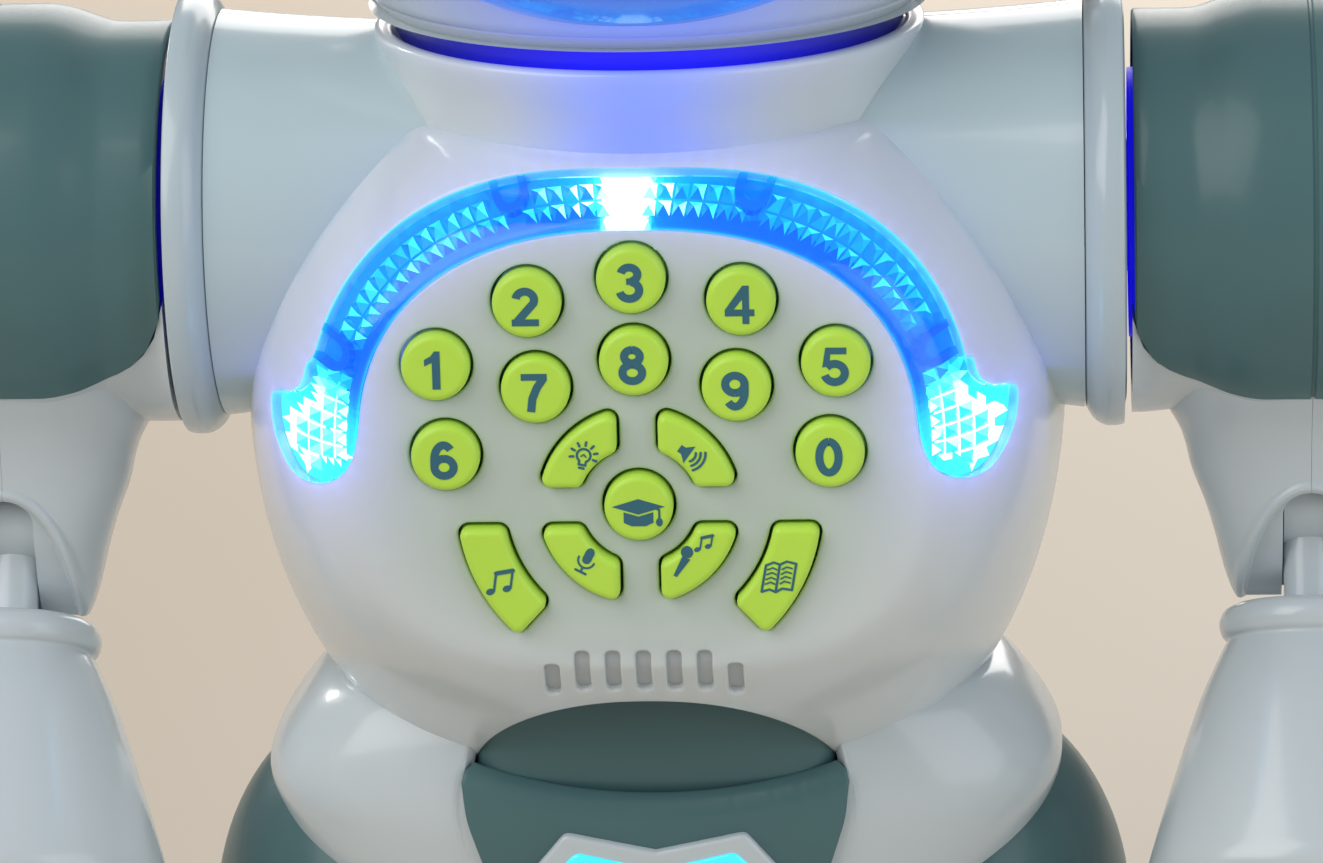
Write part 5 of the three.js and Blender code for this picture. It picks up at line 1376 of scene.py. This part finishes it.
# Each eye is a ring round a dot, both a little proud of the visor
eye_x, eye_lift, eye_foot = 17.0, 1.35, 1.1
eye_parts = []
for x in (-eye_x, eye_x):
    rows = []
    for radius, lift in ((8.6, eye_foot), (8.4, eye_lift), (7.5, eye_lift), (7.3, eye_foot), (8.6, eye_foot)):
        circle = arc((x, head_middle), radius, 0, 360, 64)[:-1]
        rows.append(on_head(circle) + surface_normals(on_head, circle, (0, -1, 0)) * lift)
    eye_parts.append((np.concatenate(rows), surface_faces(5, 64, True)))
    dot = arc((x, head_middle), 4.2, 0, 360, 48)[:-1]
    eye_parts.append(inlay(dot, on_head, eye_lift, 0.2, 0.3, 1.2))
eyes = hold_mesh("eye_lights", *joined(*eye_parts))
finish_piece(eyes, cyan_lamp, "head", "face_light", slot="cyan_light", sharp=50)

for name, side in both_sides:
    low, high = box_of(f"ear_cap_{name}")
    start, reach = np.sort(np.abs([low[0], high[0]]))
    _, ear_y, ear_z = (low + high) / 2
    radius = (high[2] - low[2]) / 2
    profile = np.concatenate([[(0.0, start), (radius, start)], bent([
        (radius, start + 0.5), (radius, reach - 0.6), (radius - 1.8, reach), (radius - 4.2, reach - 0.5),
        (radius - 4.6, reach - 1.2), (radius - 6.5, reach - 1.0), (0.0, reach - 0.3),
    ], 0.8)])
    ear = hold_mesh(f"ear_{name}", *lathe(profile * (1, side), "x", (0, ear_y, ear_z), 96))
    finish_piece(ear, teal_plastic, "head", f"ear_cap_{name}", slot="dark_waist", sharp=50)

low, high = box_of("neck_post")
post_radius, flange_radius = 9.0, 13.0
neck = hold_mesh("neck_spindle", *lathe([
    (0.0, low[2]), (flange_radius, low[2]), (flange_radius, low[2] + 1.5), (post_radius, low[2] + 2.2),
    (post_radius, high[2] - 2.2), (flange_radius, high[2] - 1.5), (flange_radius, high[2]), (0.0, high[2]),
], "z", (0, 0, 0), 64))
finish_piece(neck, grey_plastic, "head", "neck_post", slot="grey_trim", sharp=40)

# ---- Arms --------------------------------------------------------------------------
# Each upper arm is two white mouldings that meet at a fine upright line: a drum at the
# shoulder, a skirt that shows under the pad, and a strut down to the elbow's fork, with a
# beaded arch in front. A dark blue ring with a painted blue glow lies round each arm's hub.
arm_middle, elbow_drop = 85.0, 40.0
arms = (("left", 1, 0.0, -25.0), ("right", -1, -8.0, -21.0))


def arm_place(points, side, swing, bend=None):
    """Points of an arm made hanging straight down from an axis at height 0: turned about X at
    the elbow, lowered to it, turned about X at the shoulder, and mirrored for the right arm."""
    points = np.array(points, float)
    for angle, drop in ((bend, elbow_drop), (swing, 0.0)):
        if angle is None:
            continue
        c, s = np.cos(np.radians(angle)), np.sin(np.radians(angle))
        y, z = points[:, 1].copy(), points[:, 2].copy()
        points[:, 1] = y * c - z * s
        points[:, 2] = y * s + z * c - drop
    return points * (side, 1, 1) + (0, 0, shoulder_height)


def hung(name, surface, side, swing, bend=None):
    """A piece of an arm, from a surface (points, faces) made hanging straight down."""
    points, faces = surface
    return hold_mesh(name, arm_place(points, side, swing, bend), faces)


# Levels of the strut: drop below the shoulder, half widths inwards and outwards, half depth
drum_radius, drum_inner, drum_outer = 25.9, 63.5, 104.9
joint_gap = 0.15
strut_end = 53.0
strut_sections = smooth_through(np.array([
    (15.5, 20.5, 19.0, 18.5), (22.0, 20.0, 17.6, 15.4), (26.0, 19.0, 16.6, 12.8), (27.4, 18.2, 16.2, 12.0),
    (28.6, 17.5, 15.9, 11.5), (30.0, 16.8, 15.7, 11.0), (32.2, 16.1, 15.4, 10.5), (35.5, 15.3, 14.8, 10.0),
    (40.0, 13.6, 13.6, 9.8), (44.0, 12.4, 12.4, 9.6), (48.5, 11.3, 11.3, 8.4), (51.6, 10.3, 10.3, 6.0),
    (strut_end, 9.6, 9.6, 4.4),
]), 6)
tongue_room = 3.6
bead_inner, bead_outer = (8.9, 16.3), (10.4, 17.9)
strut_drops = np.concatenate([
    np.linspace(15.5, 32.8, 28), np.linspace(32.95, 34.9, 5), np.linspace(35.1, 40.0, 26),
    np.linspace(40.6, strut_end, 24),
])


def strut_loop(drop, outside):
    """One level of the inner or outer half of the strut at a drop below the shoulder: a
    superellipse of power 2.6 with an arch in front. Between the arch's two ellipses runs a
    bead of 0.5 mm, and inside them the front is sunk by 2.3 mm. A hollow for the forearm's
    tongue opens in front as a slot."""
    half, deep = (
        np.interp(drop, strut_sections[:, 0], strut_sections[:, i]) for i in (2 if outside else 1, 3)
    )
    gap, climb = 0.02, strut_end - drop
    slot = max(tongue_room * np.sqrt(max(1 - (max(elbow_drop - drop, 0) / 3.3) ** 2, 0)), gap)
    hollow = tongue_room if drop > 32.9 else gap
    widest = min(bead_outer[0] * np.sqrt(max(1 - (climb / bead_outer[1]) ** 2, 0)), half - 0.15)
    narrowest = max(bead_inner[0] * np.sqrt(max(1 - (climb / bead_inner[1]) ** 2, 0)) - 0.9, 0)
    near = np.maximum(np.linspace(widest, narrowest, 16), slot + 0.02 * np.arange(16)[::-1])
    start = np.arccos(min(near[0] / half, 1) ** 1.3)
    unit_x, unit_y = super_ellipse(np.linspace(np.pi / 2, -start, 49), 2.6)
    inner_level = np.hypot(near / bead_inner[0], climb / bead_inner[1])
    outer_level = np.hypot(near / bead_outer[0], climb / bead_outer[1])
    over = np.clip(inner_level - 1, 0, 1)
    across = over / (over + np.clip(1 - outer_level, 1e-6, 1))
    sunk = min(2.3, 0.45 * deep) * np.clip((1 - inner_level) * bead_inner[0] / 0.8, 0, 1)
    front = deep * (1 - (near / half) ** 2.6) ** (1 / 2.6) + 0.5 * np.sin(np.pi * across) - sunk
    lip, back = front[-1], min(6.9, deep - 1.0)
    inside_y = [-lip, -min(6.9, lip - 0.3), -min(6.7, lip - 0.4), back, back]
    u = np.concatenate([np.maximum(half * unit_x, gap), near, [slot, slot, hollow, hollow, gap]])
    y = np.concatenate([deep * unit_y, -front, inside_y])
    return np.stack([arm_middle + (u if outside else -u), y, np.full(len(u), -drop)], 1)


# How much narrower drum, pad and skirt are at their inner ends: (less radius, x)
shoulder_step = smooth_through(np.array([
    (2.4, 68.6), (2.3, 70.2), (1.7, 72.2), (0.8, 74.6), (0.2, 77.0), (0.0, 78.6),
]), 3)


def drum_profile(outside):
    """Closed profile (radius, x) of half of the drum, with quarter circles at its corners."""
    if outside:
        start = arm_middle + joint_gap
        return [
            (0.0, start), (drum_radius - 0.4, start), (drum_radius, arm_middle + 0.5),
            *arc((drum_radius - 10, drum_outer - 10), 10, 0, 90, 12), (0.0, drum_outer),
        ]
    end = arm_middle - joint_gap
    return [
        (0.0, 51.3), (13.0, 51.3), (13.0, 53.1), (9.0, 53.1), (9.0, drum_inner),
        *arc((drum_radius - 4.4, drum_inner + 2), 2, -90, 0, 6),
        *[(drum_radius - less, x) for less, x in shoulder_step],
        (drum_radius, arm_middle - 0.5), (drum_radius - 0.4, end), (0.0, end),
    ]


# Pad and skirt run to a shoulder edge whose round has its middle at (round_radius, round_x)
pad_radius, skirt_radius = 27.5, 27.3
pad_start, pad_end = 62.2, 106.5
round_radius, round_x = 15.9, 94.9
skirt_profiles = (
    np.concatenate([
        [(24.9, 61.9), (24.9, 63.3), (24.9, 65.0), (24.9, 66.8)],
        [(skirt_radius - less, x) for less, x in shoulder_step],
        [(skirt_radius, 81.6), (skirt_radius, arm_middle - joint_gap)],
    ]),
    np.concatenate([
        [(skirt_radius, x) for x in np.linspace(arm_middle + joint_gap, round_x, 8)],
        arc((round_radius, round_x), skirt_radius - round_radius, 0, 90, 15)[1:],
    ]),
)


def pad_edge(x):
    """How far below the axis the pad reaches at x: a straight edge with a quarter circle at
    each end."""
    edge_drop, corner = 22.6, 12.0
    inset = np.maximum(corner - np.minimum(x - pad_start, pad_end - x), 0)
    return edge_drop - (corner - np.sqrt(np.maximum(corner ** 2 - inset ** 2, 0)))


def cover(profile, below):
    """A wall of 1.3 mm over the drum along a profile (radius, x): the pad above its edge, or
    the skirt below it, which fills out to its full radius underneath and is 3.5 mm thick at
    the shoulder. Where the profile ends near the axis, the face is closed by a fan."""
    radius, x = profile[:, :1], profile[:, 1:]
    reach = np.arccos(np.clip(-pad_edge(x) / np.where(x > 86, radius, pad_radius), -1, 1))
    if below:
        reach = np.pi - reach - 0.35 / radius
    share = np.linspace(-1, 1, 121)[None, :]
    a = (np.pi if below else 0.0) + reach * share
    fill = np.clip(reach * (1 - np.abs(share)) / 0.7, 0, 1) * below * (x < 80)
    radius = radius + (skirt_radius - radius) * fill ** 2 * (3 - 2 * fill)
    on_round = x > round_x
    away = np.maximum(np.hypot(radius - round_radius, x - round_x), 1)
    skins = []
    for inset in (0.0, 1.3):
        depth = np.where(below & (x < 62.5), 2.7 * inset, inset)
        r = np.where(on_round, round_radius + (radius - round_radius) * (1 - inset / away), radius - depth)
        along = np.where(on_round, round_x + (x - round_x) * (1 - inset / away), x)
        skins.append(np.stack([along + 0 * a, r * np.sin(a), r * np.cos(a)], -1).reshape(-1, 3))
    triangles = halves(surface_faces(len(profile), 121, False))
    if profile[-1, 1] > 100:
        last = (len(profile) - 1) * 121 + np.arange(120)
        triangles = np.concatenate([triangles, np.stack([last, last + 1, np.full(120, len(skins[0]))], 1)])
        skins = [np.concatenate([skin, [(skin[-1, 0], 0, skin[-1, 2])]]) for skin in skins]
    return wall_shell(*skins, triangles)


hub_profile = [(9.1, 61.5), (17.5, 61.6), (17.5, drum_inner + 0.2), (9.1, drum_inner + 0.2)]
hub_ring = lathe(hub_profile, "x", (0, 0, 0), 96)
for name, side, swing, _ in arms:
    for part, outside in (("inner", False), ("outer", True)):
        arm = hung(f"arm_{part}_{name}", joined(
            lathe(drum_profile(outside), "x", (0, 0, 0), 120),
            lofted([strut_loop(drop, outside) for drop in strut_drops]),
            cover(skirt_profiles[outside], True),
        ), side, swing)
        node = f"upper_arm_{part}_{name}"
        finish_piece(arm, white_plastic, f"upper_arm_{name}", node, slot="white_casing", sharp=40)
    hub = hung(f"arm_hub_{name}", hub_ring, side, swing)
    finish_piece(hub, deep_blue, f"upper_arm_{name}", slot="blue_lens", sharp=40)
    # Painted light: the left hub glows about four times as strongly as the right one
    set_lit(hub, np.full(len(hub.data.vertices), 0.62 if side > 0 else 0.15))

# ---- Shoulder pads -----------------------------------------------------------------
# Glossy teal shells clipped over the drums, open below, with rounded lower corners and a
# fine groove at the arm's joint line.
pad_profile = np.concatenate([
    [(24.8, pad_start), (25.1, pad_start + 0.3), (25.1, 64.4), (25.1, 66.5)],
    [(pad_radius - less, x) for less, x in shoulder_step],
    [(pad_radius, 81.6), (pad_radius, 84.6), (27.2, 84.85), (27.2, 85.15), (pad_radius, 85.4)],
    [(pad_radius, x) for x in np.linspace(87.3, round_x, 5)],
    arc((round_radius, round_x), pad_radius - round_radius, 0, 90, 15)[1:],
])
for name, side, swing, _ in arms:
    pad = hung(f"pad_{name}", cover(pad_profile, False), side, swing)
    finish_piece(pad, teal_plastic, f"upper_arm_{name}", f"shoulder_pad_{name}", slot="dark_waist", sharp=50)

# ---- Forearms and hands ------------------------------------------------------------
# White bells with a bead round the top, hinged on a tongue in the elbow fork, each with a
# teal C-shaped gripper plugged into its open end.
bell_profile = np.concatenate([
    [(0.0, -14.4)],
    bent([
        (6.0, -14.4), (10.2, -14.4), (11.5, -15.3), (12.0, -16.8), (11.6, -18.4), (10.8, -19.0),
        (11.3, -19.8),
    ], 0.7),
    smooth_through(np.array([
        (12.2, -21.6), (14.6, -27.0), (17.7, -36.0), (20.7, -45.5), (21.6, -49.4), (20.8, -52.2),
    ]), 8),
    bent([(20.2, -53.0), (18.2, -55.0), (16.4, -55.0), (14.2, -54.4), (14.0, -47.0)], 0.8),
    [(0.0, -47.0)],
])


def sideways(outline, x):
    """A (y, z) outline at a place x."""
    return np.stack([np.full(len(outline), x), outline[:, 0], outline[:, 1]], 1)


def tongue_loop(u):
    """Outline of the tongue beside the forearm's middle: a disc of radius 6.2 round the elbow
    and a neck whose thickness follows a superellipse of power 2.2."""
    thick = 2.6 * (1 - (abs(u) / 3.45) ** 2.2) ** (1 / 2.2)
    start = np.degrees(np.arcsin(thick / 6.2)) - 90
    outline = np.concatenate([arc((0, 0), 6.2, start, 180 - start, 48), [(-thick, -16.0), (thick, -16.0)]])
    return sideways(outline, arm_middle + u)


tongue = lofted([tongue_loop(u) for u in (-3.4, -3.3, -3.0, -2.5, -1.5, 0.0, 1.5, 2.5, 3.0, 3.3, 3.4)])
bell = lathe(bell_profile, "z", (arm_middle, 0, 0), 120)
claw_middle = (0, -68.5)
claw_outline = np.concatenate([arc(claw_middle, 14.0, -55, 235, 60), arc(claw_middle, 9.0, 231, -51, 60)])
claw = lofted([
    sideways(grown(claw_outline, -inset), arm_middle + u)
    for u, inset in ((-6.0, 0.8), (-5.7, 0.3), (-5.0, 0.0), (5.0, 0.0), (5.7, 0.3), (6.0, 0.8))
])
plug_profile = [(0.0, -57.5), (10.5, -57.5), (12.8, -56.6), (13.6, -55.0), (13.7, -52.8), (0.0, -52.8)]
plug = lathe(plug_profile, "z", (arm_middle, 0, 0), 80)
for name, side, swing, bend in arms:
    lower = hung(f"forearm_casing_{name}", joined(bell, tongue), side, swing, bend)
    finish_piece(lower, white_plastic, f"forearm_{name}", f"forearm_{name}", slot="white_casing", sharp=35)
    hand = hung(f"gripper_{name}", joined(claw, plug), side, swing, bend)
    finish_piece(hand, teal_plastic, f"forearm_{name}", f"hand_{name}", slot="dark_waist", sharp=40)

# ---- Legs --------------------------------------------------------------------------
# Dark glossy thighs under the hips stand in white boots. Each boot is a smooth moulding
# with a flat sole plate that two small rubber wheels on steel axles come through.
leg_x, wheel_y, wheel_z = 38.0, 31.0, 9.0
boot_depth = 54.0
boot_sections = smooth_through(np.array([
    (1.5, 23.5, 52.5), (4, 25, boot_depth), (12, 25, boot_depth), (18, 24.2, 48), (28, 21.5, 35),
    (40, 20.5, 27), (52, 21.6, 27.6), (61, 23, 29),
]), 8)
boot_sections[:, 2] = np.minimum(boot_sections[:, 2], boot_depth)


def thigh_loop(row):
    """One level of the thigh: an ellipse of the ellipsoid 23.4 by 27 by 30 about (38, 4, 72)
    at a share of its half height."""
    a = np.linspace(0, 2 * np.pi, 96, endpoint=False)
    shrink = np.sqrt(1 - min(row ** 2, 0.99995))
    x, y = leg_x + 23.4 * shrink * np.cos(a), 4 + 27 * shrink * np.sin(a)
    return np.stack([x, y, np.full(len(a), 72 + 30 * row)], 1)


def boot_skin(inset, lip):
    """The boot's outer or inner skin: superellipses of power 2.6 at the heights of its
    sections, then of a lip, each smaller by an inset."""
    return np.concatenate([
        super_column(half - inset, deep - inset, 2.6, z, leg_x, 144)
        for z, half, deep in np.concatenate([boot_sections, lip])
    ])


thigh_points, thigh_faces = lofted([
    thigh_loop(row) for row in np.sin(np.linspace(-np.arcsin(24.0 / 30.0), np.pi / 2, 40))
])
boot_shell = wall_shell(
    boot_skin(0.0, [(61.6, 22.6, 28.6), (61.6, 21.0, 27.0)]),
    boot_skin(wall, [(60.6, 22.4, 28.4), (60.6, 21.9, 27.9)]),
    halves(surface_faces(len(boot_sections) + 2, 144, True)),
)
sole = super_column(21.2, 50.2, 2.6, 0, leg_x, 144)[:, :2]
wells = [round_rectangle(leg_x - 4.6, leg_x + 4.6, y - 8.5, y + 8.5, 1.0) for y in (-wheel_y, wheel_y)]
flat, triangles, _ = triangulated([sole, *wells], np.empty((0, 2)))
middles = flat[triangles].mean(1)
triangles = triangles[inside(middles, sole) & ~inside(middles, wells[0]) & ~inside(middles, wells[1])]
sole_skins = [np.column_stack([flat, np.full(len(flat), z)]) for z in (1.7, 3.9)]
boot_points, boot_faces = joined(boot_shell, wall_shell(*sole_skins, triangles))

rubber = moulded_plastic("wheel_rubber", (0.025, 0.025, 0.027), 0.7, tone=0.10, grain=0.06)
tread = [(8.6 if i % 2 else wheel_z, -3.2 + 0.4 * i) for i in range(17)]
tyre_profile = np.array([
    (1.5, -4.0), (5.6, -4.0), (6.0, -3.4), (8.4, -4.0), (wheel_z, -3.4), *tread,
    (wheel_z, 3.4), (8.4, 4.0), (6.0, 3.4), (5.6, 4.0), (1.5, 4.0),
])
axle_profile = np.array([(0.0, -4.6), (1.4, -4.6), (1.4, 4.6), (0.0, 4.6)])
for name, side in both_sides:
    thigh = hold_mesh(f"thigh_casing_{name}", thigh_points * (side, 1, 1), thigh_faces)
    finish_piece(thigh, teal_plastic, "body", f"thigh_{name}", slot="dark_waist", sharp=50)
    boot = hold_mesh(f"boot_casing_{name}", boot_points * (side, 1, 1), boot_faces)
    finish_piece(boot, white_plastic, "body", f"boot_{name}", slot="white_casing", sharp=35)
    for kind, y in (("drive_wheel", wheel_y), ("free_wheel", -wheel_y)):
        hub_place = (side * leg_x, y, wheel_z)
        wheel = hold_mesh(f"{kind}_tyre_{name}", *lathe(tyre_profile, "x", hub_place, 64))
        finish_piece(wheel, rubber, f"{kind}_{name}_body", f"{kind}_{name}", slot="wheel_rubber", sharp=40)
        axle = hold_mesh(f"{kind}_axle_{name}", *lathe(axle_profile, "x", hub_place, 24))
        finish_piece(axle, steel, f"{kind}_{name}_body", slot="grey_trim", sharp=40)
